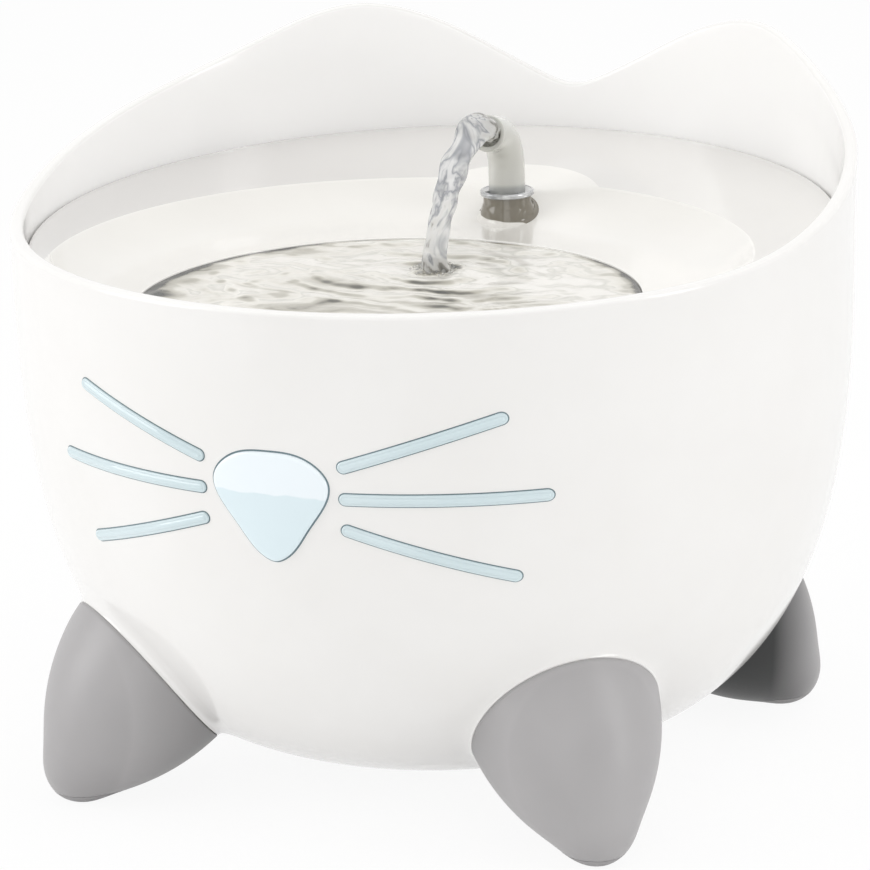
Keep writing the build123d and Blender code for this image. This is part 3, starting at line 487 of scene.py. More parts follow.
seal_soft = plastic("seal_soft", (0.62, 0.61, 0.58), (0.66, 0.65, 0.62), gloss=(0.45, 0.6), bump=0.05)
rubber_black = plastic("rubber_black", (0.02, 0.02, 0.02), (0.028, 0.028, 0.028), gloss=(0.5, 0.7), bump=0.1)
pad_rubber = plastic("pad_rubber", (0.39, 0.38, 0.385), (0.41, 0.40, 0.405), gloss=(0.5, 0.65), bump=0.08)
resin_cast = plastic("resin_cast", (0.03, 0.03, 0.03), (0.05, 0.05, 0.05), gloss=(0.15, 0.3), bump=0.02)
ceramic = plastic("ceramic", (0.80, 0.79, 0.76), (0.83, 0.82, 0.79), gloss=(0.08, 0.15), bump=0.01)
ferrite = plastic("ferrite", (0.05, 0.048, 0.048), (0.07, 0.066, 0.066), gloss=(0.4, 0.55),
                  patch=0.006, bump=0.12)
board_mask = plastic("board_mask", (0.01, 0.10, 0.04), (0.012, 0.13, 0.05), gloss=(0.2, 0.3), patch=0.004)
phosphor = plastic("phosphor", (0.80, 0.62, 0.10), (0.84, 0.68, 0.16), gloss=(0.2, 0.3), patch=0.002)
foam_black = plastic("foam_black", (0.012, 0.012, 0.014), (0.05, 0.05, 0.055), gloss=(0.8, 0.95),
                     patch=0.0016, grain=0.001, bump=0.9)
cotton = plastic("cotton", (0.62, 0.61, 0.58), (0.74, 0.73, 0.70), gloss=(0.8, 0.95),
                 patch=0.003, grain=0.0012, bump=0.6)

# %% [markdown]
# Clear parts need light to pass through them. The spout is milky, so it scatters light
# inside, and the ring under it is clear and hard. The water has ripples in its shape. Its
# tints are painted reflections and painted shade, and an attribute on its points tells the
# finish where the painted shade falls.

# %% Clear and metal finishes
milky_clear = plastic("milky_clear", (0.68, 0.68, 0.64), (0.82, 0.82, 0.78), gloss=(0.12, 0.22), patch=0.006,
                      Transmission_Weight=0.55, IOR=1.45, Coat_Weight=0.4, Coat_Roughness=0.05)
ring_clear = plastic("ring_clear", (0.36, 0.37, 0.38), (0.78, 0.79, 0.80), gloss=(0.04, 0.08), patch=0.004,
                     Transmission_Weight=0.3, IOR=1.5, Metallic=0.3, Coat_Weight=0.8, Coat_Roughness=0.02)
stainless = plastic("stainless", (0.52, 0.52, 0.52), (0.6, 0.6, 0.6), gloss=(0.2, 0.32),
                    patch=0.003, Metallic=1.0)
laminate_steel = plastic("laminate_steel", (0.16, 0.16, 0.17), (0.3, 0.3, 0.31), gloss=(0.35, 0.5),
                         patch=0.001, Metallic=0.9)
copper_wire = plastic("copper_wire", (0.50, 0.17, 0.07), (0.62, 0.24, 0.10), gloss=(0.2, 0.3), patch=0.004,
                      Metallic=0.85, Coat_Weight=0.5)


def water(name, stops, clearness, patches, stretch, twist):
    """Water: an attribute of its points plus twisted patches pick a tint of painted reflection and painted
    shade.
    """
    finish, tree = new_finish(name)
    painted_water_shade = wire(tree, "ShaderNodeAttribute", attribute_name="painted_water_shade")
    place = tree.nodes.new("ShaderNodeTexCoord").outputs["Object"]
    long = wire(tree, "ShaderNodeMapping", {"Vector": place}, Scale=stretch)
    swirl = wire(tree, "ShaderNodeTexNoise", {"Vector": long.outputs[0]}, Scale=1 / patches, Detail=3.0,
                 Distortion=twist)
    level = maths(tree, "ADD", swirl.outputs["Fac"], painted_water_shade.outputs["Fac"])
    waves = wire(tree, "ShaderNodeTexNoise", {"Vector": place}, Scale=420.0, Detail=2.0)
    skin = wire(tree, "ShaderNodeBump", {"Height": waves.outputs["Fac"]}, Strength=0.12, Distance=0.0004)
    return principled(finish, {"Base Color": tint_ramp(tree, level, stops), "Normal": skin.outputs[0]},
                      Roughness=0.03, IOR=1.33, Transmission_Weight=clearness)


# Tints of the water by level: painted reflections and painted shade, and in the stream painted highlights
# too.
POOL_STOPS = [(0.0, (0.93, 0.92, 0.88)), (0.47, (0.92, 0.90, 0.86)), (0.53, (0.72, 0.71, 0.66)),
              (0.57, (0.89, 0.87, 0.82)), (0.65, (0.80, 0.78, 0.72)), (0.72, (0.60, 0.58, 0.52)),
              (0.80, (0.50, 0.48, 0.42)), (0.92, (0.18, 0.175, 0.15)), (1.0, (0.08, 0.08, 0.075))]
STREAM_STOPS = [(0.0, (0.26, 0.26, 0.26)), (0.34, (0.46, 0.46, 0.47)), (0.38, (0.88, 0.88, 0.88)),
                (0.45, (0.93, 0.93, 0.93)), (0.49, (0.62, 0.63, 0.65)), (0.52, (0.40, 0.41, 0.44)),
                (0.57, (0.66, 0.67, 0.68)), (0.61, (0.93, 0.93, 0.92)),
                (0.74, (0.86, 0.85, 0.83)), (0.80, (0.42, 0.41, 0.38)), (1.0, (0.12, 0.115, 0.10))]
pool_water_look = water("pool_water_look", POOL_STOPS, 0.1, 0.021, (0.5, 1.0, 1.0), 1.8)
stream_look = water("stream_look", STREAM_STOPS, 0.45, 0.009, (1.0, 0.5, 0.5), 1.6)
bubble_look = plastic("bubble_look", (0.72, 0.72, 0.70), (0.86, 0.86, 0.85), gloss=(0.02, 0.06), patch=0.002,
                      Transmission_Weight=0.7, IOR=1.2)

# %% [markdown]
# Three glossy pieces mirror their surroundings. That is painted into their colour as a
# painted reflection in two zones with a wavy border: the nose is painted paler above, and
# the spout's pillar and tube are painted darker next to the ring, as painted shade and
# reflection.

# %% Finishes with a painted reflection zone
def painted_reflection(name, low_tint, high_tint, border, tilt, wave, soft=0.3, **sockets):
    """Painted reflection: a low and a high tint that meet at a wavy border; sizes in millimetres."""
    finish, tree = new_finish(name)
    place = tree.nodes.new("ShaderNodeTexCoord").outputs["Object"]
    parts = wire(tree, "ShaderNodeSeparateXYZ", {0: place}).outputs
    waves = wire(tree, "ShaderNodeTexNoise", {"Vector": place}, Scale=160.0, Detail=1.0)
    tilted = maths(tree, "MULTIPLY_ADD", parts["X"], tilt, parts["Z"])
    level = maths(tree, "MULTIPLY_ADD", waves.outputs["Fac"], wave * MM, tilted)
    middle = border + wave / 2
    share = wire(tree, "ShaderNodeMapRange", {"Value": level}, interpolation_type="SMOOTHSTEP",
                 From_Min=(middle - soft) * MM, From_Max=(middle + soft) * MM)
    colour = tint_ramp(tree, share.outputs[0], [(0.0, low_tint), (1.0, high_tint)])
    return principled(finish, {"Base Color": colour}, Roughness=0.06, **sockets)


nose_gloss = painted_reflection("nose_gloss", (0.73, 0.85, 0.90), (0.87, 0.94, 0.985), 107.6, 0.05, 3.0,
                      Coat_Weight=0.6, Coat_Roughness=0.02)
pillar_gloss = painted_reflection("pillar_gloss", (0.84, 0.82, 0.78), (0.20, 0.18, 0.14), 141.4, 0.1, 1.2, soft=0.12,
                        Coat_Weight=0.4, Coat_Roughness=0.04)
elbow_milky = painted_reflection("elbow_milky", (0.55, 0.56, 0.55), (0.82, 0.82, 0.78), 151.4, 0.0, 1.4, soft=0.9,
                       Transmission_Weight=0.35, IOR=1.45, Coat_Weight=0.5, Coat_Roughness=0.04)

# %% [markdown]
# ## The bowl
#
# The real bowl is one moulding. Its rim rises to two ears at the back, and its edge is
# rounded. The mesh is a turned grid whose upper rows stretch with the height of the edge:
# a closed spline through a few heights round the rim gives that height for each column.
# It also has the inner wall and the seat for the tray, so it is right with the tray off.

# %% Height of the rim round the bowl
EAR_RISE = [(0, 16.8), (6, 20.8), (12, 27.2), (18, 33.8), (24, 38.9), (32, 42.0), (39, 40.0), (46, 35.2),
            (54, 29.8), (63, 24.8), (73, 20.2), (83, 15.6), (93, 11.2), (103, 7.6), (114, 5.2), (126, 4.3),
            (152, 3.9), (180, 3.8)]
BOWL_COLUMNS = 360
both_sides = np.array(EAR_RISE + [(360 - from_rear, rise) for from_rear, rise in reversed(EAR_RISE[1:-1])])
rim_points = ring_of(from_back(np.radians(both_sides[:, 0])), BODY_R, both_sides[:, 1])
rim_curve = spline(rim_points, 4000)
rim_turn = np.degrees(np.arctan2(rim_curve[:, 0], rim_curve[:, 1])) % 360
order = np.argsort(rim_turn)
columns_deg = np.arange(BOWL_COLUMNS) * 360 / BOWL_COLUMNS
bowl_directions = from_back(np.radians(columns_deg))
rim_height = RIM_Z + np.interp(columns_deg, rim_turn[order], rim_curve[order, 2], period=360)
print("Rim from", rim_height.min().round(1), "to", rim_height.max().round(1), "mm")

# %% Bowl mesh
EDGE_ROUND, SPLIT_Z, SEAT_DEPTH = 1.2, 128.0, 5.0
OUTER_ROWS, UPPER_ROWS, HOLLOW_ROWS, SEAT_ROWS = 110, 26, 60, 16


def outer_radius(height):
    depth = np.clip(RIM_Z - height, 0, None) / (RIM_Z - BASE_Z)
    flare = (EAR_OUT_R - BODY_R) * np.clip(height - RIM_Z, 0, None) / EAR_H
    return BODY_R * (1 - depth ** HEIGHT_POWER) ** (1 / RADIUS_POWER) + flare


def inner_radius(height):
    seam = SEAM_R + SEAM_GAP
    return seam + (EAR_IN_R - seam) * np.clip(height - RIM_Z, 0, None) / EAR_H


shoulder = rim_height - EDGE_ROUND
rows = [tuple(p) for p in wall_profile(0, OUTER_ROWS) if p[1] < SPLIT_Z]
rows += [(outer_radius(z), z)
         for z in (SPLIT_Z + (shoulder - SPLIT_Z) * k for k in np.linspace(0, 1, UPPER_ROWS))]
for a in np.radians(np.arange(15, 91, 15)):
    rows.append((outer_radius(shoulder) - EDGE_ROUND * (1 - np.cos(a)), shoulder + EDGE_ROUND * np.sin(a)))
for a in np.radians(np.arange(90, -1, -15)):
    rows.append((inner_radius(shoulder) + EDGE_ROUND * (1 - np.cos(a)), shoulder + EDGE_ROUND * np.sin(a)))
rows += [(inner_radius(z), z)
         for z in (SEAT_Z + (shoulder - SEAT_Z) * k for k in np.linspace(0.96, 0, SEAT_ROWS))]
rows += [(SEAT_R, SEAT_Z), (SEAT_R, SEAT_Z - SEAT_DEPTH)]
rows += [tuple(p) for p in wall_profile(WALL, HOLLOW_ROWS)[::-1] if p[1] < SEAT_Z - SEAT_DEPTH - 0.5]
bowl_mesh = mesh_from_rows("bowl", [ring_of(bowl_directions, r, z) for r, z in rows], 50)
# Painted light: the inner wall above the seat, round the rim and up the ears, gets the paler third tint of
# white_gloss.
place = vertex_array(bowl_mesh)
across = np.linalg.norm(place[:, :2], axis=1)
painted_light_inner_wall = (across < inner_radius(place[:, 2]) + 0.05) & (place[:, 2] > SEAT_Z)
store(bowl_mesh, "shade", painted_light_inner_wall.astype(float))
add_piece(bowl_mesh, "base", white_gloss, ["reservoir_shell"])

# %% [markdown]
# ## Claw feet
#
# Each foot is a claw: a rounded tip that swells towards the bowl, turned about an axis
# that leans inwards. Its top follows the bowl's wall. To find that edge, each line of the
# claw's side is walked from tip to root until the wall's formula changes sign.

# %% Claw lines and where they meet the wall
FEET = {"front_left": (-42.1, 116.1), "front_right": (42.1, 116.1),
        "rear_left": (-119.8, 102.6), "rear_right": (119.8, 102.6)}
FOOT_LEAN, FOOT_TIP_R, FOOT_SINK, FAIRING, PAD_H, PAD_R = 47.7, 10.4, 0.8, 1.4, 3.0, 12.0
FOOT_SIDE = [(-10.4, 0), (-7.4, 7.4), (-1.5, 12.1), (6, 17.3), (16, 22.6), (28, 26.3), (46, 26.0), (60, 21.0)]
CLAW_ROWS, CLAW_COLUMNS = 500, 128
CLAW_TOP_INSET = -FAIRING - 0.15  # the claw's top lies just outside the white collar


def claw_lines(azimuth, reach):
    """Points of the claw's side, from its tip to its root, and the same rows on its axis."""
    lean, out = np.radians(FOOT_LEAN), np.radians(azimuth)
    outward = np.array([np.sin(out), -np.cos(out), 0])
    up, sideways = np.array([0, 0, 1.0]), np.array([np.cos(out), np.sin(out), 0])
    along = -np.cos(lean) * outward + np.sin(lean) * up
    across = np.sin(lean) * outward + np.cos(lean) * up
    centre = reach * outward + (FOOT_TIP_R - FOOT_SINK) * up
    side = spline(FOOT_SIDE, CLAW_ROWS, start=(0, 1), end=(1, 0))
    turn = full_turn(CLAW_COLUMNS)
    ring = np.cos(turn)[:, None] * across + np.sin(turn)[:, None] * sideways
    axis = centre + side[:, :1] * along
    lines = axis[:, None, :] + side[:, 1][:, None, None] * ring[None]
    return lines, np.repeat(axis[:, None], CLAW_COLUMNS, 1)


def first_change(values):
    """Row, with its fraction, where each column first changes sign."""
    change = np.argmax(np.sign(values[1:]) != np.sign(values[:-1]), axis=0)
    column = np.arange(values.shape[1])
    before, after = values[change, column], values[change + 1, column]
    return change + before / (before - after)


def at_row(lines, row):
    """Points of the lines at fractional rows, one for each column."""
    low = np.clip(row.astype(int), 0, len(lines) - 2)
    share = (row - low)[:, None]
    column = np.arange(lines.shape[1])
    return lines[low, column] * (1 - share) + lines[low + 1, column] * share


# %% [markdown]
# A foot is three pieces on the real thing: the grey claw, a rubber tip under it, and a
# white collar that belongs to the bowl. The collar flares from the claw's edge out onto
# the wall, so its curve has one handle on the claw and one on the wall.

# %% Feet, rubber tips and collars
COLLAR_SPREAD, COLLAR_LIP, COLLAR_DEPTH = 7.0, 0.08, 3.0
# The claws get painted shade: these set where it falls and how strong it is.
OUTER_REAR = (0.925, 0.38)  # the direction, in x and y, along which a rear claw gets paler
REAR_SHADE, FRONT_SHADE, FRONT_STRENGTH = (114, 96), (4, 32), 0.45


def towards(ring, middle, share):
    return ring + (middle - ring) * share


for foot, (azimuth, reach) in FEET.items():
    lines, axis = claw_lines(azimuth, reach)
    tip_at = reach * np.array([np.sin(np.radians(azimuth)), -np.cos(np.radians(azimuth))])
    from_tip = np.linalg.norm(lines[..., :2] - tip_at, axis=-1)
    floor_row = first_change(np.maximum(lines[..., 2] - PAD_H, from_tip - PAD_R))
    top_row = first_change(wall_error(lines, CLAW_TOP_INSET))
    wall_row = first_change(wall_error(lines))
    top, top_axis = at_row(lines, top_row), at_row(axis, top_row)

    side = [at_row(lines, floor_row + (top_row - 1.5 - floor_row) * k) for k in np.linspace(0, 1, 56)]
    low_middle = side[0].mean(axis=0)
    cap = [towards(top, top_axis, 0.012)]
    middle = onto_wall(top.mean(axis=0), CLAW_TOP_INSET)
    cap += [onto_wall(towards(top, middle, k), CLAW_TOP_INSET) for k in (0.04, 0.2, 0.4, 0.6, 0.8, 1)]
    grid = [towards(side[0], low_middle, k) for k in (1, 0.66, 0.33)] + side + cap
    claw = mesh_from_rows(f"claw_{foot}", grid, 60)
    place = vertex_array(claw)
    # Painted shade: a rear claw is darker away from its outer side, and a front claw darker towards its root.
    if "rear" in foot:
        darker = share_of(OUTER_REAR[0] * np.abs(place[:, 0]) + OUTER_REAR[1] * place[:, 1], *REAR_SHADE)
    else:
        inwards = reach - np.linalg.norm(place[:, :2], axis=1)
        darker = FRONT_STRENGTH * share_of(inwards, *FRONT_SHADE)
    store(claw, "shade", darker)
    add_piece(claw, "base", foot_satin, [f"foot_{foot}"])

    grid = [at_row(lines, floor_row * k) for k in np.linspace(0, 1, 26)]
    grid += [towards(grid[-1], low_middle, k) for k in (0.33, 0.66, 1)]
    grid = np.array(grid)
    grid[..., 2] = np.clip(grid[..., 2], 0, PAD_H - 0.05)
    tip = mesh_from_rows(f"claw_tip_{foot}", grid, 60)
    add_piece(tip, "base", pad_rubber, [f"foot_pad_{foot}"])

    edge_row = first_change(wall_error(lines, -FAIRING))
    edge, handle = at_row(lines, edge_row), at_row(lines, wall_row)
    out = handle - at_row(axis, wall_row)
    normal = wall_normal(handle)
    out = unit(out - (out * normal).sum(-1, keepdims=True) * normal)
    skirt = onto_wall(handle + COLLAR_SPREAD * out)
    rows = [(1 - t) ** 2 * edge + 2 * t * (1 - t) * handle + t ** 2 * skirt for t in np.linspace(0, 1, 16)]
    rows += [skirt - wall_normal(skirt), handle - normal]
    inner = towards(edge, at_row(axis, edge_row), COLLAR_LIP)
    rows += [inner - COLLAR_DEPTH * wall_normal(inner), onto_wall(inner, -FAIRING)]
    collar = mesh_from_rows(f"claw_collar_{foot}", rows, 50, wrap_rows=True)
    add_piece(collar, "base", white_gloss)

# %% [markdown]
# ## Nose and whiskers
#
# The nose is a pale blue lens let into the wall, with a lamp behind it. Its face is a
# stack of outlines, each a little further in and higher, so its edge is bevelled. The
# whiskers are strips made the same way, with a low rib along the middle. Each has a dark
# line round it, where the joint between the two plastics shows.

# %% Outlines on the front wall
NOSE_TOP_Z, NOSE_TIP_Z, NOSE_HALF_W, NOSE_WIDEST_Z = 119.2, 88.2, 16.2, 111.5
nose_right = spline([(0, NOSE_TOP_Z), (0.62 * NOSE_HALF_W, NOSE_TOP_Z - 1.5), (NOSE_HALF_W, NOSE_WIDEST_Z),
                     (0.62 * NOSE_HALF_W, NOSE_TIP_Z + 9.8), (2.6, NOSE_TIP_Z + 0.9), (0, NOSE_TIP_Z)],
                    400, start=(1, 0), end=(-1, 0))
nose_outline = even(np.vstack([nose_right, nose_right[::-1] * (-1, 1)]), 181)[:-1]


def grown(outline, amount):
    """A closed outline (clockwise) moved outwards by an amount."""
    heading = unit(np.roll(outline, -1, axis=0) - np.roll(outline, 1, axis=0))
    return outline + amount * np.stack([-heading[:, 1], heading[:, 0]], axis=1)


def seam_mesh(name, outline, width=0.3):
    """Thin dark band round an outline, let into the wall."""
    rows = [front_of_wall(grown(outline, out), lift)
            for out, lift in ((-0.1, -0.5), (-0.1, 0.04), (0.0, 0.07), (width, 0.05), (width + 0.05, -0.5))]
    return mesh_from_rows(name, rows, 60, wrap_rows=True)


# %% Nose
NOSE_BEVEL = [(0, 0.2), (-0.03, 0.45), (-0.12, 0.66), (-0.35, 0.86), (-0.7, 0.98), (-1.1, 1.03)]
NOSE_SINK, NOSE_DOME = 1.2, 0.45
nose_middle = nose_outline.mean(axis=0)
grid = [front_of_wall(nose_middle + (nose_outline - nose_middle) * k, -NOSE_SINK) for k in (0, 0.5, 1)]
grid += [front_of_wall(grown(nose_outline, out), lift) for out, lift in NOSE_BEVEL]
face_out, face_lift = NOSE_BEVEL[-1]
inner = grown(nose_outline, face_out)
for k in (0.9, 0.75, 0.6, 0.45, 0.3, 0.15, 0):
    grid.append(front_of_wall(nose_middle + (inner - nose_middle) * k, face_lift + NOSE_DOME * (1 - k ** 2)))
add_piece(mesh_from_rows("nose", grid, 60), "base", nose_gloss, ["nose_lens"])
add_piece(seam_mesh("nose_seam", nose_outline, 0.45), "base", blue_edge)

# %% Whiskers
WHISKER_ROOT_X, WHISKER_HALF = 20.8, 1.6
WHISKERS = {"upper": (116.1, 60.1, 128.8), "middle": (107.1, 69.6, 106.6), "lower": (98.2, 61.0, 84.1)}
WHISKER_STEPS = [(1.6, -0.8), (1.6, 0.2), (1.54, 0.4), (1.38, 0.55), (1.15, 0.6), (0.95, 0.5), (0.8, 0.52),
                 (0.6, 0.72), (0.3, 0.8), (0, 0.82)]


def strip_outline(root, end, half):
    """Clockwise outline of a round-ended strip, the same number of points for any width."""
    along = (end - root) / np.linalg.norm(end - root)
    across = np.array([-along[1], along[0]])
    run = np.linspace(0, 1, 40)[:, None]
    turn = np.linspace(90, -90, 13)[1:-1, None]
    cap = np.cos(np.radians(turn)) * along + np.sin(np.radians(turn)) * across
    upper, lower = root + (end - root) * run + half * across, end + (root - end) * run - half * across
    return np.vstack([upper, end + half * cap, lower, root - half * cap])


for side_name, side in (("left", -1), ("right", 1)):
    for row, (root_z, end_x, end_z) in WHISKERS.items():
        root, end = np.array([side * WHISKER_ROOT_X, root_z]), np.array([side * end_x, end_z])
        if side < 0:
            root, end = end, root
        grid = [front_of_wall(strip_outline(root, end, 0), -0.8)]
        grid += [front_of_wall(strip_outline(root, end, half), lift) for half, lift in WHISKER_STEPS]
        name = f"whisker_{side_name}_{row}"
        strip = mesh_from_rows(f"{name}_strip", grid, 60)
        add_piece(strip, "base", blue_gloss, [name])
        outline = strip_outline(root, end, WHISKER_HALF)
        add_piece(seam_mesh(f"{name}_seam", outline), "base", blue_edge)

# %% [markdown]
# ## Drinking tray
#
# The tray is one moulding with a sloping ledge round its edge, a shallow hollow that runs
# down to the pool, and the pool's rounded side. None of these circles share a centre, so
# the mesh is laid out in rays from the middle of the pool. A formula says how far along a
# ray the hollow has risen by a given share, and another says where its outline is.

# %% Hollow of the tray along each ray
TRAY_COLUMNS, HOLLOW_POWER, BULGE_DIP = 420, 2.6, 2.4
ray = from_back(full_turn(TRAY_COLUMNS))


def reach_to(radius, centre_y):
    """How far along each ray from the pool's middle a circle on the centre line is."""
    shift = np.array([0, centre_y - POOL_Y])
    along = ray @ shift
    inside = along ** 2 - shift @ shift + radius ** 2
    return along + np.sqrt(np.clip(inside, 0, None))


def ledge_height(points):
    """Height of the ledge at points (x, y): it slopes inwards, and all of it leans forwards."""
    slope = LEDGE_SLOPE * (SEAM_R - np.linalg.norm(points[..., :2], axis=-1))
    return LEDGE_Z + np.tan(LEDGE_LEAN) * points[..., 1] - slope


def hollow_height(points):
    """Height of the hollow under points (x, y): flat at the pool's edge, steeper outwards."""
    spread, shift = BOWL_R - POOL_R, BOWL_Y - POOL_Y
    x, y = points[..., 0], points[..., 1] - POOL_Y
    a, b = spread ** 2 - shift ** 2, 2 * POOL_R * spread + 2 * shift * y
    share = (-b + np.sqrt(b ** 2 - 4 * a * (POOL_R ** 2 - x ** 2 - y ** 2))) / (2 * a)
    ledge = ledge_height(points)
    bay = BULGE_DIP * np.clip(1 - (x ** 2 + (points[..., 1] - BULGE_Y) ** 2) / BULGE_R ** 2, 0, 1)
    return np.minimum(POOL_Z + (ledge - POOL_Z) * np.clip(share, 0, 1) ** HOLLOW_POWER, ledge - bay)


bulge = np.where(ray[:, 1] > 0.3, reach_to(BULGE_R, BULGE_Y), 0)
outline_reach = np.minimum(np.maximum(reach_to(BOWL_R, BOWL_Y), bulge), reach_to(TRAY_BODY_R - TRAY_WALL, 0))
print("Hollow reaches", outline_reach.min().round(1), "to", outline_reach.max().round(1),
      "mm from the pool's middle")

# %% [markdown]
# Each row of the grid is a distance along the rays and a height. The rows go from the
# middle of the pool up its side, over the hollow, up the step, across the ledge and over
# the rounded edge, and come back underneath, so the tray is one closed wall.

# %% Tray rows
SKIRT_Z, SKIRT_IN_R = SEAT_Z + 0.05, SEAM_R - 2.4
ROUND_STEPS = (18, 36, 54, 72, 90)


def at_reach(reach, height):
    """Points along the rays at a distance and a height, or a height found from each point."""
    return ring_of(ray, reach, height, POOL_Y)


def pool_side(wall):
    """Radius and height of the pool's inner side, or of its underside, from the middle up."""
    points = [(0, POOL_FLOOR_Z - wall), (POOL_R - 22, POOL_FLOOR_Z - wall),
              (POOL_R - 6 + wall, POOL_FLOOR_Z + 5 - wall), (POOL_R + wall, POOL_Z - 0.3 - wall * 0.5)]
    return even(spline(points, 300, start=(1, 0), end=(0.2, 1)), 46)


rows = [at_reach(r, z) for r, z in pool_side(0)]
rows += [at_reach(POOL_R + r, POOL_Z + z) for r, z in ((0.05, -0.15), (0.2, -0.05), (0.45, 0))]
outline = at_reach(outline_reach, hollow_height)
step_up = np.clip(ledge_height(outline) - outline[:, 2], 0, None)
low_round, high_round = np.minimum(0.9, step_up / 2), np.minimum(0.7, step_up / 2)
for share in np.linspace(0.03, 1, 56):
    rows.append(at_reach(POOL_R + (outline_reach - low_round - POOL_R) * share, hollow_height))
foot_height = rows[-1][:, 2]
rows += [at_reach(outline_reach - short, foot_height + rise)
         for rise, short in rounding(low_round, (20, 40, 60, 80, 90))]
lip_height = ledge_height(at_reach(outline_reach + high_round, 0))
rise = np.clip(lip_height - foot_height - low_round - high_round, 0, None)
rows += [at_reach(outline_reach, foot_height + low_round + rise * k) for k in (0.2, 0.4, 0.6, 0.8, 1)]
rows += [at_reach(outline_reach + out, lip_height - drop)
         for out, drop in rounding(high_round, ROUND_STEPS)]
edge_reach = reach_to(SEAM_R - EDGE_ROUND, 0)
lip_reach = outline_reach + high_round
rows.append(at_reach(lip_reach + 0.25, ledge_height))
rows += [at_reach(lip_reach + (edge_reach - lip_reach) * k, ledge_height) for k in np.linspace(0.12, 1, 12)]
edge_z = rows[-1][:, 2]
rows += [at_reach(reach_to(SEAM_R - short, 0), edge_z - drop)
         for drop, short in rounding(EDGE_ROUND, ROUND_STEPS)]
rows += [at_reach(reach_to(SEAM_R, 0), SKIRT_Z), at_reach(reach_to(SKIRT_IN_R, 0), SKIRT_Z)]


def under_ledge(points):
    return np.maximum(ledge_height(points) - TRAY_WALL, SKIRT_Z + 0.02)


under_reach = np.minimum(outline_reach + TRAY_WALL, reach_to(TRAY_BODY_R, 0))
rows += [at_reach(reach_to(SKIRT_IN_R, 0), under_ledge), at_reach(under_reach, under_ledge)]
for share in np.linspace(1, 0.03, 26):
    reach = POOL_R + TRAY_WALL + (under_reach - 0.4 * (step_up > 1) - POOL_R - TRAY_WALL) * share
    rows.append(at_reach(reach, lambda p: hollow_height(p) - TRAY_WALL))
rows += [at_reach(r, z) for r, z in pool_side(TRAY_WALL)[::-1]]
tray_mesh = mesh_from_rows("tray", rows, 50)

# %% [markdown]
# The bore for the riser and the six drain slots are cut with Boolean modifiers. Exact
# solving is slower than the other kinds, but it keeps a closed wall round each cut.

# %% Cut the bore and the drain slots
RISER_HOLE_R, SLOT_RING_R, SLOT_LENGTH, SLOT_WIDTH = 4.9, 76.5, 9.0, 2.4
SLOT_TURNS, SLOT_CUT = (30, 41, 52), 12.0
RISER_CUT_LOW_Z, RISER_CUT_HIGH_Z = 110.0, 160.0
round_directions = from_right(full_turn(96))


def slot_cutter(name, turn):
    """Upright round-ended block at a turn from the front, on the ring of drain slots."""
    half, radius = SLOT_LENGTH / 2 - SLOT_WIDTH / 2, SLOT_WIDTH / 2
    around = np.radians(np.arange(24) * 15.0)
    outline = np.stack([radius * np.cos(around) + np.where(np.cos(around) > 0, half, -half),
                        radius * np.sin(around) - SLOT_RING_R], axis=1)
    cos, sin = np.cos(np.radians(turn)), np.sin(np.radians(turn))
    flat = np.stack([outline[:, 0] * cos - outline[:, 1] * sin,
                     outline[:, 0] * sin + outline[:, 1] * cos + POOL_Y], axis=1)
    middle = flat.mean(axis=0)
    low, high = POOL_Z - SLOT_CUT, POOL_Z + SLOT_CUT
    return mesh_from_rows(name, [np.column_stack([middle + (flat - middle) * size, np.full(len(flat), z)])
                                 for size, z in ((0, low), (1, low), (1, high), (0, high))])


def cut(mesh, cutters):
    """The mesh less its cutters, which are removed."""
    target = bpy.data.objects.new("to_cut", mesh)
    scene.collection.objects.link(target)
    tools = []
    for cutter in cutters:
        tool = bpy.data.objects.new(cutter.name, cutter)
        scene.collection.objects.link(tool)
        step = target.modifiers.new(cutter.name, "BOOLEAN")
        step.operation, step.solver, step.object = "DIFFERENCE", "EXACT", tool
        tools.append(tool)
    graph = bpy.context.evaluated_depsgraph_get()
    result = bpy.data.meshes.new_from_object(target.evaluated_get(graph))
    result.name = mesh.name
    for thing in [target, *tools]:
        bpy.data.objects.remove(thing)
    return result


riser_rows = [(0, RISER_CUT_LOW_Z), (RISER_HOLE_R, RISER_CUT_LOW_Z),
              (RISER_HOLE_R, RISER_CUT_HIGH_Z), (0, RISER_CUT_HIGH_Z)]
cutters = [mesh_from_rows("riser_way", [ring_of(round_directions, r, z, SPOUT_Y) for r, z in riser_rows])]
cutters += [slot_cutter(f"slot_{side * turn}", side * turn) for turn in SLOT_TURNS for side in (-1, 1)]
tray_mesh = tidy_mesh(cut(tray_mesh, cutters), 50)
tray_mesh.name = "tray"
place = vertex_array(tray_mesh)
beyond = (np.hypot(place[:, 0], place[:, 1] - BOWL_Y) > BOWL_R + 0.1) \
    & (np.hypot(place[:, 0], place[:, 1] - BULGE_Y) > BULGE_R + 0.1)
# Painted shade on the ledge outside the hollow: a greyer tint, strongest at the left and fading towards the
# right.
LEDGE_NEAR, LEDGE_SHADE, LEDGE_PALER = 1.3, 0.74, 0.26
on_ledge = np.abs(place[:, 2] - ledge_height(place)) < LEDGE_NEAR
store(tray_mesh, "shade", (beyond & on_ledge) * (LEDGE_SHADE - LEDGE_PALER * place[:, 0] / SEAM_R))
add_piece(tray_mesh, "tray", tray_gloss, ["drinking_tray"])

# %% [markdown]
# The spout stands on a short pillar, moulded with the tray. Its foot runs out into the
# hollow in a small fillet, so the rows near the foot ask the hollow for its height.

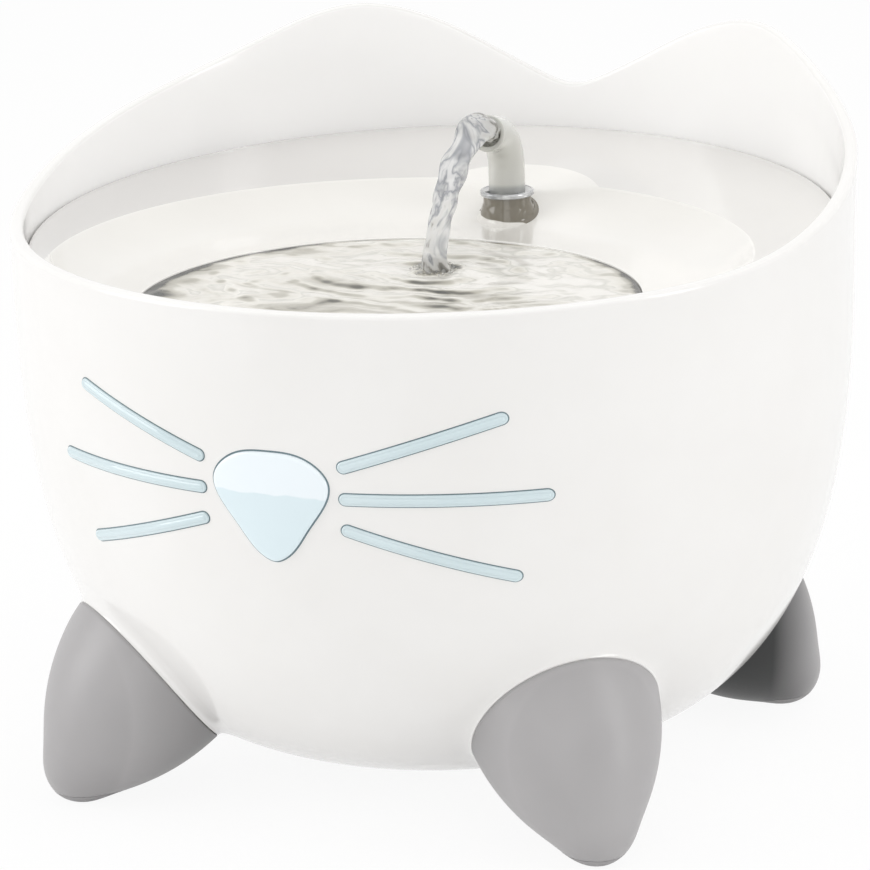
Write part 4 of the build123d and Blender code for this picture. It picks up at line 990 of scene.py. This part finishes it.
# %% Pillar under the spout
PILLAR_R, PILLAR_FOOT_R, PILLAR_TOP_Z, PILLAR_CONE_Z = 7.2, 8.5, 147.9, 145.9
ELBOW_FOOT_Z, COUNTERBORE_R = 144.1, 6.4
CONE_DROP, CONE_OVER_HOLLOW = 2.6, 1.3
PILLAR_FILLET, FILLET_CLEAR = 1.5, 1.2  # the fillet's radius, and how far below the top it stays


def pillar_row(radius, height=0.0, above_hollow=None):
    """A row at a fixed height, at a height above the hollow, or at the higher of the two."""
    row = ring_of(round_directions, radius, height, SPOUT_Y)
    if above_hollow is not None:
        follow = hollow_height(row) + above_hollow
        row[:, 2] = np.maximum(height, np.minimum(follow, PILLAR_TOP_Z - FILLET_CLEAR))
    return row


rows = [pillar_row(r, z) for r, z in (
    (COUNTERBORE_R, PILLAR_TOP_Z - 0.3), (COUNTERBORE_R + 0.25, PILLAR_TOP_Z),
    (PILLAR_R - 0.35, PILLAR_TOP_Z), (PILLAR_R - 0.08, PILLAR_TOP_Z - 0.1),
    (PILLAR_R, PILLAR_TOP_Z - 0.35), (PILLAR_R, PILLAR_CONE_Z))]
rows += [pillar_row(PILLAR_R + (PILLAR_FOOT_R - 0.45 - PILLAR_R) * k, PILLAR_CONE_Z - CONE_DROP * k,
                    CONE_OVER_HOLLOW) for k in (0.5, 1)]
rows += [pillar_row(PILLAR_FOOT_R - 0.4 + out, above_hollow=0.06 + rise)
         for out, rise in rounding(PILLAR_FILLET, (10, 25, 40, 55, 70, 82))]
rows += [pillar_row(PILLAR_FOOT_R + 1.1, above_hollow=-0.8), pillar_row(RISER_HOLE_R, above_hollow=-2.0),
         pillar_row(RISER_HOLE_R, ELBOW_FOOT_Z - 0.1), pillar_row(COUNTERBORE_R, ELBOW_FOOT_Z - 0.1)]
add_piece(mesh_from_rows("pillar", rows, 35, wrap_rows=True), "tray", pillar_gloss)

# %% [markdown]
# ## Spout
#
# The ring is a clear collar pressed into the pillar. The elbow turns in it by a lug that
# runs in a pocket, so the ring's inner edge steps out over the pocket's reach. The elbow
# is a bent tube with walls, because it is half clear and its bore can be seen.

# %% Ring
COLLAR_R, COLLAR_BORE_R, COLLAR_FLANGE_Z, COLLAR_FOOT_Z, COLLAR_PLUG_R = 8.2, 5.56, 148.0, 144.2, 6.35
POCKET_R, POCKET_Z, POCKET_HALF, COLLAR_ROUND = 7.05, 148.25, 53.0, 0.6
ring_turn = np.radians(np.arange(0, 360, 2.0))
pocket = (np.abs((np.degrees(ring_turn) - 270 + 180) % 360 - 180) <= POCKET_HALF).astype(float)
pocket_r = COLLAR_BORE_R + (POCKET_R - COLLAR_BORE_R) * pocket
top_z = COLLAR_TOP_Z - 0.12
pocket_z = top_z - (top_z - POCKET_Z) * pocket
steps = [(COLLAR_BORE_R, COLLAR_FOOT_Z + 0.4), (COLLAR_BORE_R + 0.25, COLLAR_FOOT_Z),
         (COLLAR_PLUG_R - 0.3, COLLAR_FOOT_Z), (COLLAR_PLUG_R, COLLAR_FOOT_Z + 0.3),
         (COLLAR_PLUG_R, COLLAR_FLANGE_Z), (COLLAR_R - 0.25, COLLAR_FLANGE_Z),
         (COLLAR_R, COLLAR_FLANGE_Z + 0.25), (COLLAR_R, COLLAR_TOP_Z - 0.65)]
steps += [(COLLAR_R - off, COLLAR_TOP_Z - drop)
          for off, drop in rounding(COLLAR_ROUND, (15, 30, 45, 60, 75, 90))]
steps += [(COLLAR_R - 0.85, COLLAR_TOP_Z - 0.02), (COLLAR_R - 0.95, top_z), (pocket_r, top_z),
          (pocket_r, pocket_z), (COLLAR_BORE_R, pocket_z - 0.01)]
rows = [ring_of(from_right(ring_turn), r, z, SPOUT_Y) for r, z in steps]
ring = mesh_from_rows("spout_ring", rows, 35, wrap_rows=True)
add_piece(ring, "tray", ring_clear, ["spout_collar"])

# %% Elbow
ELBOW_R, ELBOW_BORE_R, ELBOW_BEND_R, ELBOW_BEND, ELBOW_TIP = 5.5, 4.0, 13.0, 78.0, 5.0
ELBOW_CHAMFER, ELBOW_LIP, BEND_Z = 0.3, 0.45, COLLAR_TOP_Z + 6.5
bend = np.radians(np.linspace(0, ELBOW_BEND, 40))
path = [(SPOUT_Y, z) for z in np.linspace(ELBOW_FOOT_Z, BEND_Z, 16)[:-1]]
path += [(SPOUT_Y - ELBOW_BEND_R * (1 - np.cos(a)), BEND_Z + ELBOW_BEND_R * np.sin(a)) for a in bend]
last, heading = np.array(path[-1]), np.array([-np.sin(bend[-1]), np.cos(bend[-1])])
path = np.array([*path, *(last + heading * s for s in np.linspace(0, ELBOW_TIP, 8)[1:])])
headings = unit(np.gradient(path, axis=0))
tube_turn = full_turn(64)


def ring_across(at, heading, side, out):
    """Points beside a path in the x = 0 plane, square to it, at offsets sideways and outwards."""
    (y, z), (dy, dz) = at, heading
    return np.stack([side, y + out * dz, z - out * dy], axis=1)


def tube_ring(step, radius, back=0.0):
    """Ring of points round the elbow's path, a little back along it."""
    return ring_across(path[step] - back * headings[step], headings[step],
                       np.cos(tube_turn) * radius, np.sin(tube_turn) * radius)


end = len(path) - 1
rows = [tube_ring(0, ELBOW_BORE_R + 0.2), tube_ring(0, ELBOW_R - ELBOW_CHAMFER), tube_ring(1, ELBOW_R)]
rows += [tube_ring(k, ELBOW_R) for k in range(2, end)]
lip = rounding(ELBOW_LIP, (0, 30, 60, 90))
rows += [tube_ring(end, ELBOW_R - off, back) for off, back in lip]
rows += [tube_ring(end, ELBOW_BORE_R + off, back) for off, back in reversed(lip)]
rows += [tube_ring(k, ELBOW_BORE_R) for k in range(end - 1, 0, -1)]
add_piece(mesh_from_rows("elbow", rows, wrap_rows=True), "spout", elbow_milky, ["spout_elbow"])

# %% Lug of the elbow
LUG_HALF, LUG_ROOT_R, LUG_R, LUG_LOW_Z, LUG_HIGH_Z = 8.0, ELBOW_R - 0.3, 6.8, 148.4, 149.4
lug_turn = np.radians(np.linspace(-90 - LUG_HALF, -90 + LUG_HALF, 9))
lug_section = [(LUG_ROOT_R, LUG_LOW_Z), (LUG_R, LUG_LOW_Z), (LUG_R, LUG_HIGH_Z), (LUG_ROOT_R, LUG_HIGH_Z)]
grid = [ring_of(from_right(lug_turn), r, z, SPOUT_Y) for r, z in lug_section]
lug_mesh = mesh_from_grid("elbow_lug", np.array(grid), wrap_rows=True, wrap_columns=False)
work = bmesh.new()
work.from_mesh(lug_mesh)
bmesh.ops.holes_fill(work, edges=work.edges, sides=4)
work.to_mesh(lug_mesh)
work.free()
add_piece(tidy_mesh(lug_mesh), "spout", milky_clear)

# %% [markdown]
# ## Water
#
# Water is what the fountain is for, so a stream and a pool are here for the looks. They
# aren't solids in the CAD model. Rings of waves spread over the pool from the foot of the
# stream, and slower ones cross them. Where the surface leans away it gets painted shade,
# and an attribute on its points keeps that painted shade for the finish.

# %% Pool of water
WATER_Z, STREAM_FOOT_Y, WATER_COLUMNS = 139.15, 1.2, 420
RING_HEIGHT, RING_SPACING, RING_REACH = 0.42, 1.9, 48
CHOP_HEIGHT, CHOP_WAVES = 0.035, 26
WATER_GAP, CALM_EDGE, WATER_ROWS = 0.25, 3, 160
water_directions = from_back(full_turn(WATER_COLUMNS))
rng = np.random.default_rng(7)
chop = [(rng.uniform(0, TAU), rng.uniform(5, 17), rng.uniform(0, TAU), rng.uniform(0.4, 1.0))
        for _ in range(CHOP_WAVES)]


def wave_height(x, y):
    """Height of the ripples in millimetres."""
    gone = np.hypot(x, (y - STREAM_FOOT_Y) * 1.15)
    bent = 3.0 * np.sin(x / 11 + 1.3) + 2.5 * np.sin(y / 9) + 1.6 * np.sin((x + y) / 5.3)
    rings = np.sin((gone + bent) / RING_SPACING) * np.exp(-gone / RING_REACH) * share_of(gone, 0, 5)
    total = RING_HEIGHT * rings
    for heading, length, phase, size in chop:
        along = x * np.cos(heading) + y * np.sin(heading)
        total += CHOP_HEIGHT * size * np.sin(along * TAU / length + phase + bent / 6)
    return total


grid = []
for r in (POOL_R - WATER_GAP) * np.linspace(0, 1, WATER_ROWS):
    row = ring_of(water_directions, r, WATER_Z, POOL_Y)
    row[:, 2] += wave_height(row[:, 0], row[:, 1]) * share_of(POOL_R - r, 0, CALM_EDGE)
    grid.append(row)
for r, z in ((POOL_R - 2.4, WATER_Z - 4), (POOL_R - 7, WATER_Z - 9.5),
             (POOL_R - 22, POOL_FLOOR_Z + 0.3), (0, POOL_FLOOR_Z + 0.3)):
    grid.append(ring_of(water_directions, r, z, POOL_Y))
pool_mesh = mesh_from_rows("pool_water", grid, 70)

# %% Painted shade of the pool
# Painted shade on the pool: where the surface leans away, along its edge, towards its left and right ends,
# round the foot of the stream, and towards the front.
LEAN_SHADE, EDGE_SHADE, SIDE_SHADE, FOOT_SHADE, NEAR_SHADE = 1.9, 0.34, 0.46, 0.42, 0.25
place = vertex_array(pool_mesh)
x, y, small = place[:, 0], place[:, 1], 0.25
lean = (wave_height(x, y + small) - wave_height(x, y - small)) / (2 * small)
gone = np.hypot(x, y - STREAM_FOOT_Y)
to_edge = POOL_R - np.hypot(x, y - POOL_Y)
painted_water_shade = LEAN_SHADE * np.clip(lean - 0.03, 0, None)
painted_water_shade += EDGE_SHADE * share_of(to_edge, 3.2, 0)
painted_water_shade += SIDE_SHADE * share_of(to_edge, 15, 0) * (np.abs(x) / POOL_R) ** 3
painted_water_shade += FOOT_SHADE * np.exp(-(gone / 6.5) ** 2) * (0.6 + 0.4 * np.sin(3 * x) * np.sin(2.3 * y))
painted_water_shade += NEAR_SHADE * share_of(-y, 10, 70)
store(pool_mesh, "painted_water_shade", painted_water_shade)
add_piece(pool_mesh, "tray", pool_water_look)

# %% Stream of water
STREAM = [(52.0, 168.7, 3.6), (48.0, 169.6, 3.75), (44.3, 170.6, 4.1), (40.5, 172.0, 4.7), (35.5, 172.9, 4.8),
          (30.5, 172.0, 4.4), (26.4, 170.2, 4.1), (18.1, 165.0, 3.8), (13.0, 159.8, 3.6), (8.8, 155.3, 3.3),
          (4.4, 149.9, 3.1), (1.4, 145.0, 3.2), (0.8, 141.2, 3.7), (1.2, 138.6, 4.8)]
stream_line = spline(STREAM, 180, start=(-0.97, 0.25, 0), end=(0.1, -1, 0.5))
STREAM_FLAT, STREAM_START_FOLD = 0.9, 0.15
STREAM_FOLDS = [(0.10, 3, 9, 0), (0.07, 5, -14, 1), (0.05, 2, 30, 0)]  # size, how many, twist, start
stream_turn = full_turn(56)
headings = unit(np.gradient(stream_line[:, :2], axis=0))
grid = []
for k, ((y, z, half), heading) in enumerate(zip(stream_line, headings)):
    run = k / len(stream_line)
    fold = sum(size * np.sin(count * stream_turn + twist * run + start)
               for size, count, twist, start in STREAM_FOLDS)
    fold += 0.05 * np.sin(40 * run + 2 * np.sin(stream_turn))
    r = half * (1 + fold * min(1, 4 * run + STREAM_START_FOLD))
    grid.append(ring_across((y, z), heading, np.cos(stream_turn) * r, np.sin(stream_turn) * r * STREAM_FLAT))
first_end, last_end = (np.broadcast_to(ring.mean(axis=0), ring.shape) for ring in (grid[0], grid[-1]))
stream_mesh = mesh_from_rows("stream", [first_end, *grid, last_end], 80)

# %% Painted shade of the stream
# Painted shade on the stream: crumpled patches near its two ends, and a shift of its painted tints lower
# down.
CRUMPLE_SHADE, LOW_SHADE = 0.22, 0.13
x, y, z = vertex_array(stream_mesh).T
crumple = np.sin(x * 1.5 + 1.5 * np.sin(z * 0.9)) * np.sin(y * 1.2 + z * 0.8)
near_an_end = np.maximum(share_of(y, 30, 40), share_of(z, 143, 138))
store(stream_mesh, "painted_water_shade", CRUMPLE_SHADE * (1 + crumple) * near_an_end + LOW_SHADE * share_of(z, 155, 150))
add_piece(stream_mesh, "spout", stream_look)

# %% [markdown]
# Small bubbles float where the stream strikes the pool, and they ride with the spout, so
# that they stay with the stream. They repeat at random, so a tree of Geometry Nodes
# scatters them over a disc, from a fixed seed. Its result is turned into a plain mesh,
# because the export keeps no modifiers.

# %% Bubbles
BUBBLES = {"Disc radius": 0.0075, "Per square metre": 4.6e5, "Smallest": 0.0002, "Largest": 0.0007,
           "Height": (WATER_Z + 0.1) * MM, "Centre": STREAM_FOOT_Y * MM}


def in_use(sockets, name):
    """The socket of this name that the node's settings leave in use."""
    return next(socket for socket in sockets if socket.name == name and socket.enabled)


bubble_tree = bpy.data.node_groups.new("bubbles", "GeometryNodeTree")


def open_socket(name, kind, way="INPUT"):
    """A socket on the outside of the tree of bubbles."""
    return bubble_tree.interface.new_socket(name, in_out=way, socket_type=f"NodeSocket{kind}")


inputs = {name: open_socket(name, "Float") for name in BUBBLES}
inputs["Seed"] = open_socket("Seed", "Int")
inputs["Finish"] = open_socket("Finish", "Material")
open_socket("Geometry", "Geometry", "OUTPUT")
given = bubble_tree.nodes.new("NodeGroupInput").outputs
disc = wire(bubble_tree, "GeometryNodeMeshCircle", {"Radius": given["Disc radius"]}, fill_type="NGON")
scatter = wire(bubble_tree, "GeometryNodeDistributePointsOnFaces",
               {"Mesh": disc.outputs["Mesh"], "Density": given["Per square metre"], "Seed": given["Seed"]})
size = bubble_tree.nodes.new("FunctionNodeRandomValue")
for name, source in (("Min", "Smallest"), ("Max", "Largest"), ("Seed", "Seed")):
    bubble_tree.links.new(given[source], in_use(size.inputs, name))
ball = wire(bubble_tree, "GeometryNodeMeshIcoSphere", Radius=1.0, Subdivisions=2)
balls = wire(bubble_tree, "GeometryNodeInstanceOnPoints",
             {"Points": scatter.outputs["Points"], "Instance": ball.outputs["Mesh"],
              "Scale": in_use(size.outputs, "Value")})
place_at = wire(bubble_tree, "ShaderNodeCombineXYZ", {"Y": given["Centre"], "Z": given["Height"]})
moved = wire(bubble_tree, "GeometryNodeTransform", {"Geometry": balls.outputs["Instances"],
             "Translation": place_at.outputs[0]})
real = wire(bubble_tree, "GeometryNodeRealizeInstances", {"Geometry": moved.outputs["Geometry"]})
coated = wire(bubble_tree, "GeometryNodeSetMaterial", {"Geometry": real.outputs["Geometry"],
              "Material": given["Finish"]})
wire(bubble_tree, "NodeGroupOutput", {"Geometry": coated.outputs["Geometry"]})

maker = bpy.data.objects.new("bubble_maker", bpy.data.meshes.new("bubble_maker"))
scene.collection.objects.link(maker)
scattering = maker.modifiers.new("scattering", "NODES")
scattering.node_group = bubble_tree
for name, value in {**BUBBLES, "Seed": 11, "Finish": bubble_look}.items():
    scattering[inputs[name].identifier] = value
bubble_mesh = bpy.data.meshes.new_from_object(maker.evaluated_get(bpy.context.evaluated_depsgraph_get()))
bubble_mesh.name = "bubbles"
maker.modifiers.clear()
bpy.data.objects.remove(maker)
add_piece(tidy_mesh(bubble_mesh), "spout", bubble_look)

# %% [markdown]
# ## Finishes of the CAD solids
#
# The solids that stay as they are get their finish by name.

# %% Finish of each CAD node
CAD_FINISHES = {
    seal_soft: ["lamp_seal", "riser_seal", "cable_grommet"],
    satin_white: ["lamp_chamber", "filter_case", "filter_case_lid", "filter_frame", "impeller"],
    board_mask: ["lamp_board"],
    phosphor: ["lamp_diodes"],
    stainless: ["foot_screws"],
    rubber_black: ["suction_cup_1", "suction_cup_2", "suction_cup_3", "suction_cup_4"],
    milky_clear: ["riser_tube"],
    black_matt: ["pump_housing", "volute_cover", "intake_cover", "flow_slider"],
    laminate_steel: ["motor_core"],
    copper_wire: ["motor_coil"],
    resin_cast: ["potting_resin"],
    ceramic: ["impeller_shaft", "shaft_bush_rear", "shaft_bush_front"],
    ferrite: ["rotor_magnet"],
    foam_black: ["intake_foam", "filter_foam"],
    cotton: ["filter_carbon_pack"],
}
for finish, names in CAD_FINISHES.items():
    for name in names:
        nodes[name].data.materials.clear()
        nodes[name].data.materials.append(finish)
